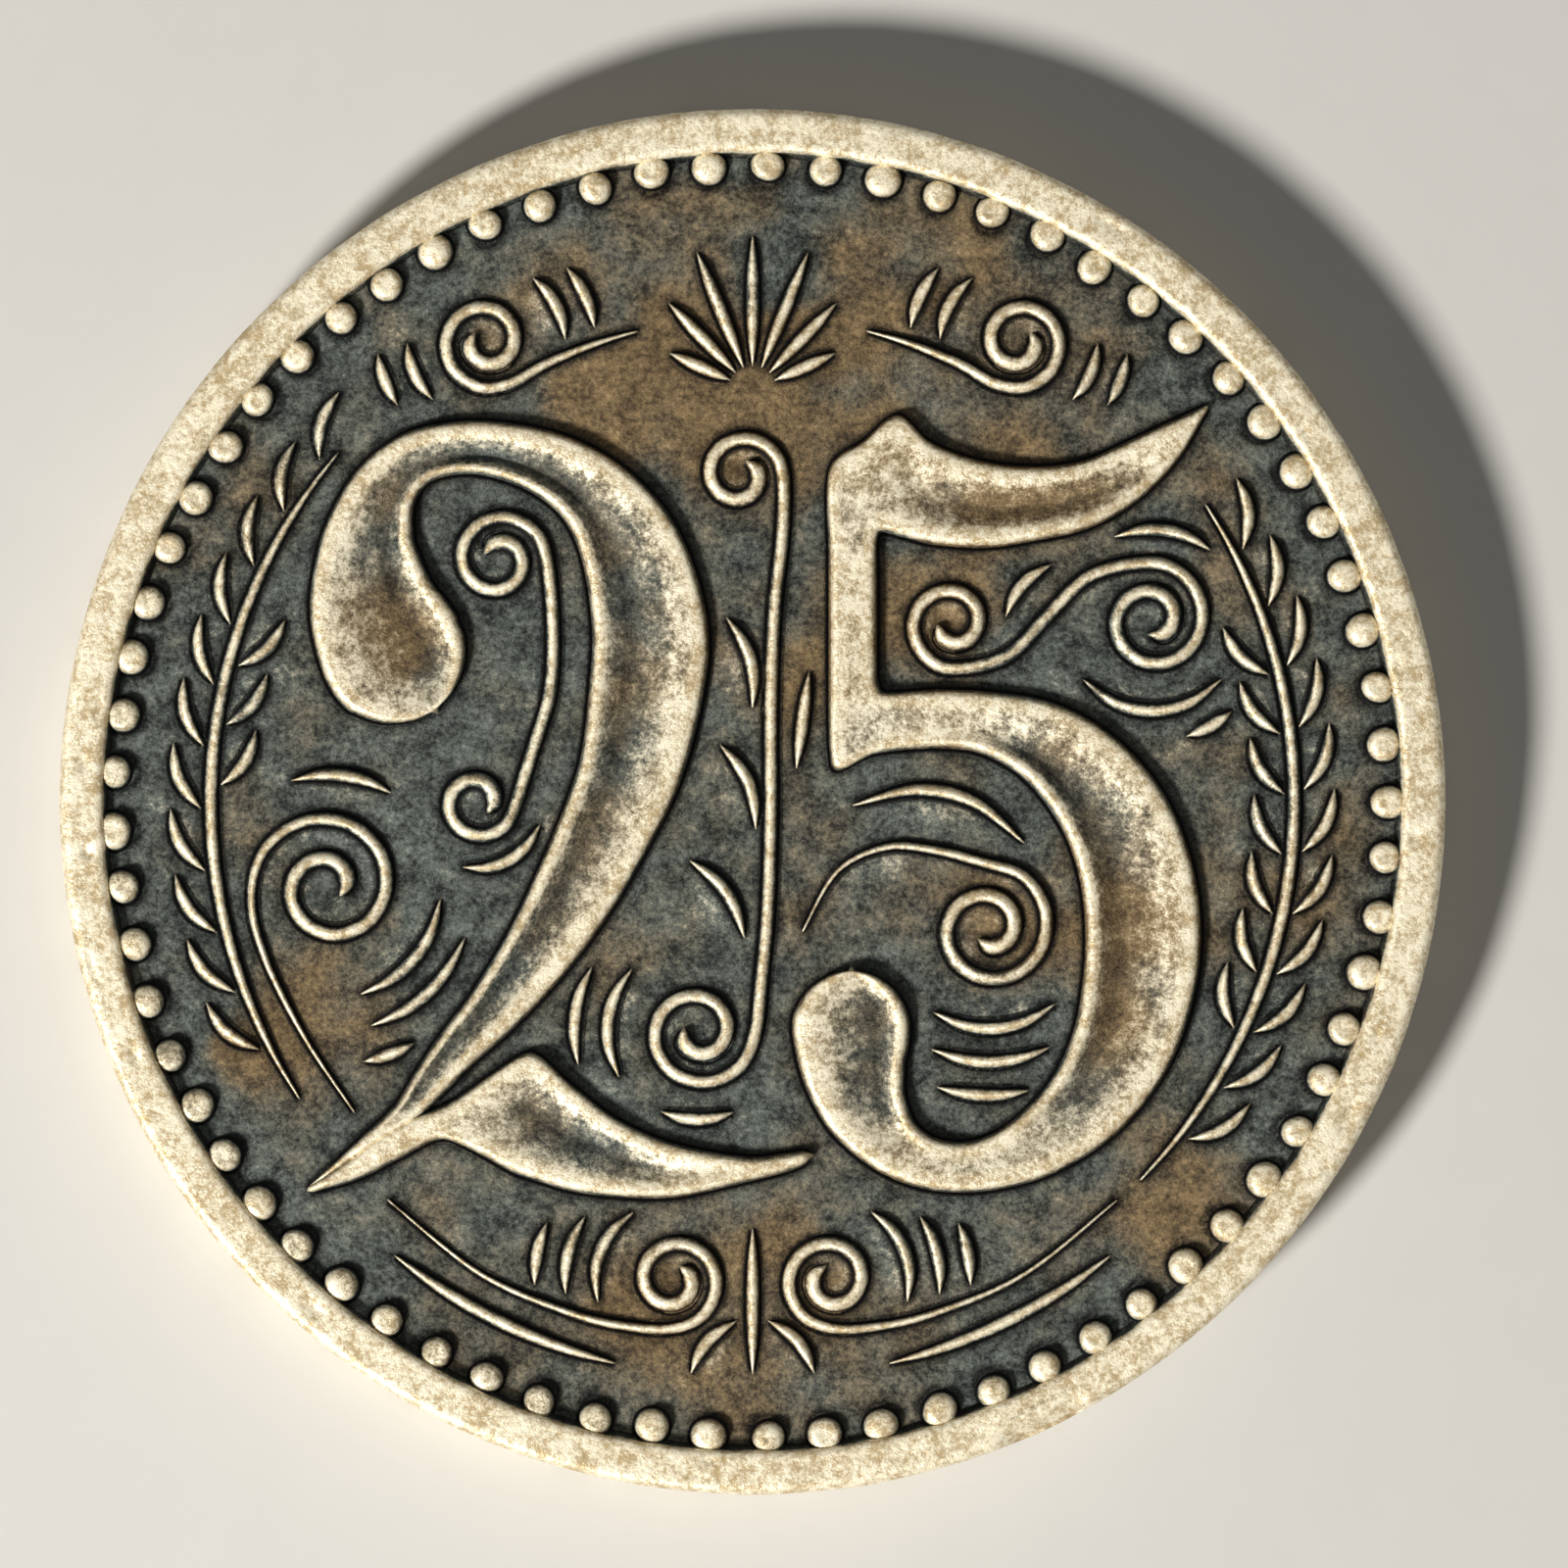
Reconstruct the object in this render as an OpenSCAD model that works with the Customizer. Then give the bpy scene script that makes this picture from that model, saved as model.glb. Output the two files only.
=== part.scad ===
// A struck fare token: a round metal blank with a raised rim, a ring of beads,
// two large numerals with dished strokes and a field of scroll lines.
// The origin is at the centre of the back rim's resting face, numerals up.

/* [Blank] */
// Diameter of the token
token_d = 21; // [18:0.5:32]
// Thickness of the blank between the two fields
blank_t = 1.1; // [0.8:0.1:2.5]

/* [Rims] */
// Width of each rim
rim_w = 0.68; // [0.4:0.02:1.2]
// Height of each rim above its field
rim_h = 0.3; // [0.28:0.01:0.6]
// Radius of the rim's outer edge
rim_round = 0.16; // [0.04:0.01:0.25]

/* [Beads] */
// Beads in each ring
bead_count = 69; // [40:1:72]
// Diameter of a bead
bead_d = 0.5; // [0.3:0.02:0.52]
// Gap between a bead and the rim
bead_gap = 0.01; // [0.01:0.01:0.1]

/* [Numerals] */
// How far the numerals lie below the rim, so that tokens stack
numeral_drop = 0.04; // [0.02:0.01:0.06]
// Width of the border along the inside of a bow
inner_border_w = 0.2; // [0.1:0.02:0.4]
// Width of the border along the outside of a bow
outer_border_w = 0.46; // [0.2:0.02:0.7]
// Width of the borders of the two's foot and the five's flag
flag_border_w = 0.44; // [0.2:0.02:0.7]
// Depth of the dished stroke below its border
scoop_depth = 0.16; // [0.02:0.01:0.2]
// Half width at which a dish reaches its full depth
dish_run = 0.2; // [0.1:0.01:0.4]
// Run of the sloping wall at the foot of a stroke
numeral_draft = 0.1; // [0.02:0.01:0.15]
// Gap between the bead ring and the farthest numeral tip
drawing_gap = 0.14; // [0.05:0.01:0.5]

/* [Scroll lines] */
// Width of a line at its foot
line_w = 0.22; // [0.14:0.01:0.26]
// Height of a line above the field
line_h = 0.14; // [0.06:0.01:0.24]
// Gap between a leaf and its stem
leaf_gap = 0.04; // [0.02:0.01:0.1]

/* [Back] */
// Width of a leaf of the wreath at its foot
wreath_leaf_w = 0.5; // [0.3:0.02:0.6]
// Width of the ring round the bare centre
ring_w = 0.36; // [0.2:0.02:0.6]

/* [Hidden] */

brass = [0.79, 0.70, 0.53];
worn_brass = [0.66, 0.57, 0.41];
patina = [0.21, 0.22, 0.21];

// Levels, from the resting face up
token_r = token_d / 2;
back_field_z = rim_h;
front_field_z = back_field_z + blank_t;
numeral_h = rim_h - numeral_drop;

// The rim, the beads and the circle that the drawing fits in
rim_inner_r = token_r - rim_w;
bead_r = bead_d / 2;
bead_ring_r = rim_inner_r - bead_gap - bead_r;
drawing_r = bead_ring_r - bead_r - drawing_gap;

// The drawing is set out on a grid, 100 steps from the centre to its circle
grid = drawing_r / 100;
line_half = line_w / 2 / grid;
wreath_half = wreath_leaf_w / 2 / grid;

// Least share of a stroke's top that the dish takes, where there is one
dish_share = 0.4;
// Place of the dish's deepest line, as a share of its width from the outside
dish_place = 0.6;
// Share of a half width that the wall takes on a narrow stroke
wall_share = 0.5;
// Depth of the dish half way to its middle, as a share of its full depth
dish_shape = 0.75;
// Share of a line's half width that its shoulder stands at, and its height
shoulder_share = 0.5;
shoulder_height = 0.8;
// Half widths of a line's point, of a scroll at its eye and of the eye's end, as
// shares of the full, and the share of a scroll that its tail widens over
point_share = 0.25;
eye_share = 1.25;
end_share = 0.5;
tail_share = 0.35;
// Steps between two stations of a numeral, and of a line
numeral_steps = 3;
line_steps = 2;
// Radius of a scroll's eye, and the spacing of points along an arc, on the grid
eye_r = 2.4;
arc_step = 7;
// Least steps along an arc, points in one turn of a spiral, steps along a leaf
arc_points = 4;
turn_points = 9;
leaf_points = 4;
// Angles of the stations that close a round end, and their dishes
end_turns = [86, 68, 46, 23, 0];
end_dishes = [0, 0, 0.1, 0.7, 1];
// Sides of a turned shape and of a bead
turned_sides = 180;
bead_sides = 24;

// Curve through stations, each a list of numbers, with points in between
function between(a, b, c, d, t) =
    b + (c - a) * t / 2
    + (2 * a - 5 * b + 4 * c - d) * t * t / 2
    + (3 * b - a - 3 * c + d) * t * t * t / 2;
function smooth(list, steps) = concat(
    [for (i = [0 : len(list) - 2], k = [0 : steps - 1])
        between(list[max(i - 1, 0)], list[i], list[i + 1],
                list[min(i + 2, len(list) - 1)], k / steps)],
    [list[len(list) - 1]]);

// Direction of travel at a station
function heading(list, i) =
    let (back = list[max(i - 1, 0)], ahead = list[min(i + 1, len(list) - 1)],
         run = [ahead[0] - back[0], ahead[1] - back[1]])
    run / norm(run);

// Left and right edge points of a stroke of [x, y, half width] stations, each
// with the station's dish after them, if it has one
function edges(list) = [for (i = [0 : len(list) - 1])
    let (run = heading(list, i), half = list[i][2])
    [list[i][0] - run[1] * half, list[i][1] + run[0] * half,
     list[i][0] + run[1] * half, list[i][1] - run[0] * half, list[i][3]]];

// Stations that close a round end, from its tip to its centre
function round_end(x, y, radius, out) = [for (i = [0 : len(end_turns) - 1])
    let (off = radius * sin(end_turns[i]), half = radius * cos(end_turns[i]))
    [x + out[0] * off, y + out[1] * off, half, end_dishes[i]]];

function reversed(list) = [for (i = [len(list) - 1 : -1 : 0]) list[i]];

// Points of an arc, and of a spiral that runs in to its eye
function arc(centre, radius, from, to) =
    let (count = max(arc_points, ceil(abs(to - from) * radius * PI / 180 / arc_step)))
    [for (i = [0 : count])
        let (turn = from + (to - from) * i / count)
        [centre[0] + radius * cos(turn), centre[1] + radius * sin(turn)]];
function spiral(centre, radius, from, turns) =
    let (count = ceil(abs(turns) * turn_points))
    [for (i = [0 : count])
        let (turn = from + 360 * turns * i / count, r = radius + (eye_r - radius) * i / count)
        [centre[0] + r * cos(turn), centre[1] + r * sin(turn)]];

// Point at a radius and an angle, and points from one to another with a bend
function polar(radius, turn) = [radius * cos(turn), radius * sin(turn)];
function leaf(root, tip, bend) = [for (i = [0 : leaf_points])
    let (t = i / leaf_points, run = tip - root)
    root + run * t + [-run[1], run[0]] * bend * sin(180 * t)];

// Half widths along a line: pointed at both ends, or swelling to an eye
function pointed(points, half) = [for (i = [0 : len(points) - 1])
    let (t = i / (len(points) - 1))
    [points[i][0], points[i][1], half * max(point_share, sqrt(sin(180 * t)))]];
function eyed(points) = [for (i = [0 : len(points) - 1])
    let (last = len(points) - 1, t = i / last)
    [points[i][0], points[i][1],
     i == last ? line_half * end_share
     : line_half * max(point_share, min(1, sqrt(t / tail_share)) + (eye_share - 1) * t * t)]];
function both_eyed(points) = [for (i = [0 : len(points) - 1])
    let (last = len(points) - 1, t = abs(2 * i / last - 1))
    [points[i][0], points[i][1],
     i == 0 || i == last ? line_half * end_share
     : line_half * (1 + (eye_share - 1) * t * t)]];

// Cross-sections, as [share across, height] from the left foot to the right.
// A numeral's dish lies between its two borders, which narrow on a thin stroke
function numeral_section(width, dish, left_border, right_border) =
    let (wall = min(numeral_draft, width / 2 * wall_share),
         room = (width - 2 * wall) * (1 - dish_share),
         thin = min(1, room / (left_border + right_border)),
         left = wall + left_border * thin,
         right = width - wall - right_border * thin,
         low = left + (right - left) * dish_place,
         depth = scoop_depth * dish * min(1, (right - left) / 2 / dish_run),
         mid = numeral_h - depth * dish_shape)
    [[0, 0], [wall / width, numeral_h], [left / width, numeral_h],
     [(left + low) / 2 / width, mid], [low / width, numeral_h - depth],
     [(low + right) / 2 / width, mid],
     [right / width, numeral_h], [1 - wall / width, numeral_h], [1, 0]];
function ridge_section(height) =
    let (a = (1 - shoulder_share) / 2)
    [[0, 0], [a, height * shoulder_height], [0.5, height],
     [1 - a, height * shoulder_height], [1, 0]];

// Solid lofted through stations of edge points, standing on z = 0
module loft(stations, sections) {
    across = len(sections[0]);
    half = floor(across / 2);
    last = (len(stations) - 1) * across;
    points = [for (i = [0 : len(stations) - 1], p = sections[i])
        let (s = stations[i])
        [grid * (s[0] + (s[2] - s[0]) * p[0]), grid * (s[1] + (s[3] - s[1]) * p[0]), p[1]]];
    sides = [for (i = [0 : len(stations) - 2], j = [0 : across - 1])
        let (a = i * across + j, b = i * across + (j + 1) % across)
        each [[a, b + across, b], [a, a + across, b + across]]];
    start = concat(
        [for (j = [1 : half - 1]) [0, j, j + 1]],
        [[0, half, across - 1]],
        [for (j = [half : across - 3]) [across - 1, j, j + 1]]);
    end = [for (f = start) [last + f[0], last + f[2], last + f[1]]];
    polyhedron(points = points, faces = concat(sides, start, end));
}

// Places for what stands on the front field and on the back field
module on_front() {
    translate([0, 0, front_field_z]) children();
}

module on_back() {
    translate([0, 0, back_field_z]) mirror([0, 0, 1]) children();
}

module numeral(stations, left_border, right_border) {
    on_front()
        loft(stations, [for (s = stations)
            let (width = grid * norm([s[2] - s[0], s[3] - s[1]]))
            numeral_section(width, max(0, min(1, s[4])), left_border, right_border)]);
}

module ridge(stations) {
    curve = edges(smooth(stations, line_steps));
    loft(curve, [for (s = curve) ridge_section(line_h)]);
}

module line(points, half = line_half) {
    ridge(pointed(points, half));
}

// The two: a bow from its ball to its point, as [x, y, half width, dish], where
// the dish is a share of its full depth
two_bow = concat(round_end(-59.5, 25, 12.2, [0.58, -0.81]), [
    [-62.5, 32, 11, 1], [-63.5, 39.5, 9, 1], [-63, 45.5, 7.3, 1], [-60.5, 52, 5.7, 1],
    [-55, 57, 4.7, 1], [-45.5, 58.5, 4.6, 1], [-34.5, 56, 5.5, 1], [-26, 50.5, 6.8, 1],
    [-20, 41.5, 8.6, 1], [-17, 29, 9.7, 1], [-17.5, 19, 9.6, 1], [-20, 6, 8.7, 1],
    [-24, -4, 7.9, 1], [-29, -14, 7.2, 1], [-35, -24, 6.1, 1], [-42.5, -34, 4.8, 1],
    [-48.5, -40.5, 3.9, 1], [-53, -46, 3.2, 0.9], [-57.5, -51.5, 2.3, 0.3],
    [-63.5, -56, 1.4, 0], [-68.5, -60, 0.8, 0], [-73, -63.5, 0.3, 0]]);

// The two's foot, as upper and lower edge points from its point to its tip
two_foot = [
    [-71.5, -64.2, -71, -64.8, 0], [-66.5, -61.2, -65, -62.5, 0], [-61, -57.4, -59, -59.5, 0],
    [-55.5, -54, -52, -56, 0], [-49.5, -49.5, -48, -57, 0], [-43.5, -45, -44, -59, 0.2],
    [-38, -41.5, -39.5, -61.5, 0.9], [-35, -42, -35, -63, 1], [-30, -46.5, -30, -64.5, 1],
    [-22, -52.5, -22, -65.5, 1], [-12.5, -56.5, -12.5, -65.5, 0.4], [-1, -58.5, -1, -63, 0],
    [5, -58.3, 5.3, -60.8, 0], [9, -57.8, 9, -58.4, 0]];

// The five's flag and stem, as inner and outer edge points from the flag's tip
five_flag = [
    [75, 64.2, 74.5, 65.4, 0], [70.5, 56.5, 69, 63, 0], [63.5, 49.5, 61.5, 59.5, 0.6],
    [55.5, 45, 54.5, 56.5, 1], [47, 43, 46.5, 55.5, 1], [38.5, 41.8, 37.5, 56.5, 1],
    [30, 42.3, 29.5, 59.5, 0.8], [25, 43.5, 24, 64, 0.2], [21.5, 44.3, 18.5, 60, 0],
    [20.7, 43, 12.6, 55, 0], [20.7, 39, 12.4, 42, 0]];
five_stem = [[20.7, 39, 12.4, 42, 0], [20.7, 30, 12.4, 30, 0], [20.7, 20.5, 12.4, 18, 0]];
five_turn = [
    [20.7, 20.5, 12.4, 18, 0], [21.5, 18.4, 12.6, 8.5, 0], [23.5, 18.2, 14, 5, 0],
    [26.5, 18.4, 20.5, 7.8, 0]];
// The five's bowl, from the stem to its ball, as [x, y, half width, dish]
five_bowl = concat([
    [30, 13.7, 5, 0], [38.3, 13.1, 5.3, 0.3], [47.2, 10.2, 6.8, 0.9], [54.4, 4.8, 8.1, 1],
    [60, -2.7, 9, 1], [63.3, -11.6, 9.5, 1], [64.5, -21.3, 9.7, 1], [63.7, -31, 9.4, 1],
    [60.9, -40.7, 8.6, 1], [55.3, -49.6, 7.3, 0.9], [47.2, -56.4, 5.8, 0.5], [38.3, -60, 4.5, 0.1],
    [30.2, -60, 4.4, 0], [23.7, -57, 5.2, 0.3], [19, -51.2, 7.1, 0.9], [16.8, -44.7, 8.7, 1]],
    reversed(round_end(16.3, -37.8, 9.9, [0, 1])));

origin = [0, 0];

// Directions of the fan's petals from upright, and how far each reaches
fan_base = [0, 68];
fan_root = 4.5;
fan_petals = [[0, 25], [22, 24], [44, 19.5], [66, 14.5]];

// The sprays beside the beads: radius of the stem, how far a leaf's tip stands
// off it, the angle that a leaf runs along and the angle from leaf to leaf
spray_r = 89.5;
spray_tip = 6.6;
spray_run = 6;
spray_pitch = 6.5;

// The same of the wreath on the back, and the ring round its bare centre
wreath_r = 70;
wreath_tip = 14;
wreath_run = 11;
wreath_pitch = 11.5;
ring_r = 43.5;

// Bend of a leaf, as a share of its length
leaf_bend = 0.12;

module blank() {
    color(patina)
        translate([0, 0, back_field_z])
            cylinder(h = blank_t, r = token_r, $fn = turned_sides);
}

// Half section of a rim, standing on z = 0 with its outer corner rounded
module rim() {
    corner = arc([token_r - rim_round, rim_h - rim_round], rim_round, 0, 90);
    rotate_extrude($fn = turned_sides)
        polygon(concat([[rim_inner_r, 0], [token_r, 0]], corner, [[rim_inner_r, rim_h]]));
}

module front_rim() {
    color(brass) on_front() rim();
}

module back_rim() {
    color(brass) on_back() rim();
}

module beads() {
    for (i = [0 : bead_count - 1])
        rotate([0, 0, 360 * i / bead_count])
            translate([bead_ring_r, 0, 0])
                rotate_extrude($fn = bead_sides)
                    intersection() {
                        circle(r = bead_r);
                        square(bead_d);
                    }
}

module front_beads() {
    color(brass) on_front() beads();
}

module back_beads() {
    color(brass) on_back() beads();
}

module numeral_two_bow() {
    color(brass)
        numeral(edges(smooth(two_bow, numeral_steps)), outer_border_w, inner_border_w);
}

module numeral_two_foot() {
    color(brass)
        numeral(smooth(two_foot, numeral_steps), flag_border_w, flag_border_w);
}

module numeral_five_flag() {
    color(brass)
        numeral(smooth(five_flag, numeral_steps), flag_border_w, flag_border_w);
}

module numeral_five_stem() {
    color(brass)
        numeral(five_stem, flag_border_w, flag_border_w);
}

module numeral_five_bowl() {
    bowl = edges(smooth(five_bowl, numeral_steps));
    stations = concat(smooth(concat(five_turn, [bowl[0]]), numeral_steps),
                      [for (i = [1 : len(bowl) - 1]) bowl[i]]);
    color(brass)
        numeral(stations, outer_border_w, inner_border_w);
}

// Arcs that repeat a scroll's curve, as [radius, from, to] about its eye
module echoes(eye, arcs) {
    for (e = arcs)
        line(arc(eye, e[0], e[1], e[2]));
}

module crest_fan() {
    color(worn_brass) on_front()
        for (p = fan_petals, side = p[0] == 0 ? [1] : [-1, 1])
            let (out = [side * sin(p[0]), cos(p[0])])
                line(leaf(fan_base + out * fan_root, fan_base + out * p[1], 0));
}

module crest_scroll() {
    eye = [44, 76];
    ridge(eyed(concat(
        arc(origin, radius = 80, from = 76, to = 64),
        spiral(eye, radius = 8, from = 240, turns = 1.4))));
    echoes(eye, [[13, 176, 128], [18, 171, 139], [13, -3, -45], [18, -8, -34]]);
}

module crest_scroll_right() {
    color(worn_brass) on_front() crest_scroll();
}

module crest_scroll_left() {
    color(worn_brass) on_front() mirror([1, 0, 0]) crest_scroll();
}

// Leaves along one side of a stem, out from it or in, between two angles
module leaves(stem_r, out, half, tip, run, pitch, foot, top) {
    up = sign(top - foot);
    root = line_half + half * point_share + leaf_gap / grid;
    for (turn = [foot : up * pitch : top])
        line(leaf(polar(stem_r + out * root, turn),
                  polar(stem_r + out * tip, turn + up * run), -out * up * leaf_bend), half);
}

// A stem along the beads from its foot to its top, with leaves that point up:
// outer ones over the whole stem and inner ones between two angles
module spray(foot, top, inner_foot, inner_top) {
    line(arc(origin, spray_r, foot, top));
    leaves(spray_r, 1, line_half, spray_tip, spray_run, spray_pitch,
           foot + sign(top - foot) * spray_pitch, top);
    leaves(spray_r, -1, line_half, spray_tip, spray_run, spray_pitch, inner_foot, inner_top);
}

module side_spray_right() {
    color(worn_brass) on_front()
        spray(foot = -44, top = 33, inner_foot = -25, inner_top = 14);
}

module side_spray_left() {
    color(worn_brass) on_front()
        spray(foot = 213, top = 140, inner_foot = 178, inner_top = 164);
}

module hook_scroll() {
    eye = [-45.5, 0];
    color(worn_brass) on_front() {
        ridge(both_eyed(concat(
            reversed(spiral([-42, 40], radius = 8, from = 0, turns = 1.4)),
            [[-33, 29], [-33.5, 18], [-36.5, 8]],
            spiral(eye, radius = 6.5, from = 0, turns = -1.1))));
        echoes(eye, [[11, -22, -100]]);
    }
}

module diagonal_scroll() {
    eye = [-70, -14];
    color(worn_brass) on_front() {
        ridge(eyed(concat(
            [[-66, -51], [-74, -39], [-80.5, -26]],
            spiral(eye, radius = 13, from = 190, turns = -1.6))));
        echoes(eye, [[18.5, 108, 58], [18.5, -8, -72], [24, -22, -72], [29.5, -62, -78]]);
    }
}

module centre_scroll() {
    eye = [-9, -38];
    color(worn_brass) on_front() {
        ridge(both_eyed(concat(
            reversed(spiral([-2, 54], radius = 7, from = 0, turns = 1.15)),
            [[5, 45], [3.5, 30], [3, 14], [3, -2], [2.5, -18], [1.5, -29]],
            spiral(eye, radius = 9.5, from = 0, turns = -1.5))));
        echoes(eye, [[15, 138, 208], [20.5, 150, 194], [14.5, 247, 292]]);
        line(leaf([0, 16], [-4, 30], -leaf_bend));
        line(leaf([0.5, -4], [-5, 9], -leaf_bend));
        line(leaf([-1.5, -22], [-10, -10], -leaf_bend));
        line(leaf([7.3, 6], [9.3, 21], 0));
    }
}

module flag_scroll() {
    eye = [66, 30];
    color(worn_brass) on_front() {
        ridge(both_eyed(concat(
            reversed(spiral([33, 29.5], radius = 7.5, from = 270, turns = -1.2)),
            [[42, 24], [49, 31], [56, 37.5]],
            spiral(eye, radius = 9.5, from = 90, turns = -1.5))));
        echoes(eye, [[15, 112, 52], [15, 222, 318], [20, -72, -50]]);
        line(leaf([42, 31], [49, 39], leaf_bend));
    }
}

module bowl_scroll() {
    eye = [39, -21];
    color(worn_brass) on_front() {
        ridge(eyed(concat(
            [[8.5, -21], [14, -11.5], [22, -7.5], [30, -8]],
            spiral(eye, radius = 11, from = 95, turns = -1.6))));
        line([[17, -0.5], [27, 2], [36.5, 0], [44.5, -6.5]]);
        echoes(eye, [[16.5, -50, -122], [22, -64, -114], [27.5, -77, -107]]);
    }
}

module base_drops() {
    color(worn_brass) on_front() {
        line(leaf([0, -71], [0, -94], 0));
        for (side = [-1, 1])
            line(leaf([side * 3, -86], [side * 10, -94], side * leaf_bend));
    }
}

module base_scroll() {
    eye = [13, -79];
    ridge(eyed(concat(
        [[60, -66], [45, -78], [30, -84.5], [20, -86.8]],
        spiral(eye, radius = 8, from = 270, turns = -1.4))));
    echoes(eye, [[13, 58, -14], [18, 34, -6], [23, 23, -1]]);
    line(arc(origin, radius = 95.5, from = 308, to = 284));
}

module base_scroll_right() {
    color(worn_brass) on_front() base_scroll();
}

module base_scroll_left() {
    color(worn_brass) on_front() mirror([1, 0, 0]) base_scroll();
}

// One branch of the wreath, from the bottom up to an opening at the top
module wreath_branch() {
    foot = -86;
    top = 62;
    line(arc(origin, wreath_r, foot, top + wreath_pitch));
    for (out = [-1, 1])
        leaves(wreath_r, out, wreath_half, wreath_tip, wreath_run, wreath_pitch,
               foot + wreath_run, top);
}

module back_wreath_right() {
    color(worn_brass) on_back() wreath_branch();
}

module back_wreath_left() {
    color(worn_brass) on_back() mirror([1, 0, 0]) wreath_branch();
}

module back_ring() {
    foot = ring_w / 2;
    crest = foot * shoulder_share;
    color(worn_brass) on_back()
        rotate_extrude($fn = turned_sides)
            translate([ring_r * grid, 0])
                polygon([[-foot, 0], [foot, 0], [crest, line_h], [-crest, line_h]]);
}

blank();
front_rim();
back_rim();
front_beads();
back_beads();
numeral_two_bow();
numeral_two_foot();
numeral_five_flag();
numeral_five_stem();
numeral_five_bowl();
crest_fan();
crest_scroll_left();
crest_scroll_right();
side_spray_left();
side_spray_right();
hook_scroll();
diagonal_scroll();
centre_scroll();
flag_scroll();
bowl_scroll();
base_drops();
base_scroll_left();
base_scroll_right();
back_wreath_left();
back_wreath_right();
back_ring();
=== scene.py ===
"""A struck fare token: worn brass relief on a dark, mottled field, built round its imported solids."""

import math
from functools import lru_cache

import bpy
import bmesh
import numpy as np
from bpy.props import FloatProperty, FloatVectorProperty, IntProperty, PointerProperty
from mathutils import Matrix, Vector, kdtree


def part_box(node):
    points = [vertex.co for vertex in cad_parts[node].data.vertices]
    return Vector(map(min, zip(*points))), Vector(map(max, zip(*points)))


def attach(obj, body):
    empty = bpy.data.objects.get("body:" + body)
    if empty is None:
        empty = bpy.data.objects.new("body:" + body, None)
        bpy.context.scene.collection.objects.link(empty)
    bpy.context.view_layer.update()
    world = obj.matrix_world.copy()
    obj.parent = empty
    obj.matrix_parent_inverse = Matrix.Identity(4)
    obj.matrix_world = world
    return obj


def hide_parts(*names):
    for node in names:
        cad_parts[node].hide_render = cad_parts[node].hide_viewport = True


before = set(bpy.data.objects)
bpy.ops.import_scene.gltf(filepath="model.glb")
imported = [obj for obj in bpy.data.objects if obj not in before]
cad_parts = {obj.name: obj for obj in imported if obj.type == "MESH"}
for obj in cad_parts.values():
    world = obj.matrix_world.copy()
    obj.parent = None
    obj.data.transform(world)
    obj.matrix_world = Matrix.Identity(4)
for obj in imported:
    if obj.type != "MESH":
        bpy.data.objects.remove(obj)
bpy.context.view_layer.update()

bl_info = {
    "name": "Struck fare token",
    "version": (1, 0, 0),
    "blender": (4, 5, 0),
    "location": "View3D > Sidebar > Token",
    "description": "Builds the worn relief and the patina of a struck fare token",
    "category": "Object",
}

MM = 0.001


def solid_points(node):
    """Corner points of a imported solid, in millimetres."""
    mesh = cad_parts[node].data
    flat = np.empty(len(mesh.vertices) * 3)
    mesh.vertices.foreach_get("co", flat)
    return flat.reshape(-1, 3) / MM


def reach(node):
    """Least and greatest distance of a solid's corners from the token's axis."""
    points = solid_points(node)
    off = np.hypot(points[:, 0], points[:, 1])
    return off.min(), off.max()


def level(node, end):
    """Height of a solid's lowest (0) or highest (1) corner, in millimetres."""
    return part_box(node)[end].z / MM


TOKEN_R = reach("blank")[1]
BACK_Z, FRONT_Z = level("blank", 0), level("blank", 1)
RIM_TOP = level("front_rim", 1)
RIM_INNER_R = reach("front_rim")[0]
BEAD_IN, BEAD_OUT = reach("front_beads")
BEAD_R = (BEAD_OUT - BEAD_IN) / 2
BEAD_RING_R = (BEAD_OUT + BEAD_IN) / 2
NUMERAL_H = level("numeral_two_bow", 1) - FRONT_Z
LINE_H = level("crest_fan", 1) - FRONT_Z
# The drawing is set out on a grid, 100 steps from the centre to a circle that clears the beads
BEAD_CLEARANCE = 0.14
GRID = (BEAD_IN - BEAD_CLEARANCE) / 100
# Half widths of a line and of a wreath's leaf, and a leaf's gap from its stem, in grid steps
LINE_HALF = 0.11 / GRID
WREATH_HALF = 0.25 / GRID
LEAF_GAP = 0.04 / GRID
# Depth to which the foot of each piece goes into the field, in millimetres
SUNK = 0.045


def linear(red, green, blue):
    """A colour as a screen shows it, 0 to 255, turned into the light that it stands for."""
    return tuple(
        c / 12.92 if c <= 0.04045 else ((c + 0.055) / 1.055) ** 2.4
        for c in (red / 255, green / 255, blue / 255)
    )


def colour(label, description, red, green, blue):
    return FloatVectorProperty(
        name=label, description=description, default=linear(red, green, blue),
        size=3, min=0, max=1, subtype="COLOR",
    )


def length(label, description, millimetres):
    return FloatProperty(
        name=label, description=description, default=millimetres * MM, unit="LENGTH", precision=6,
    )


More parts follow.
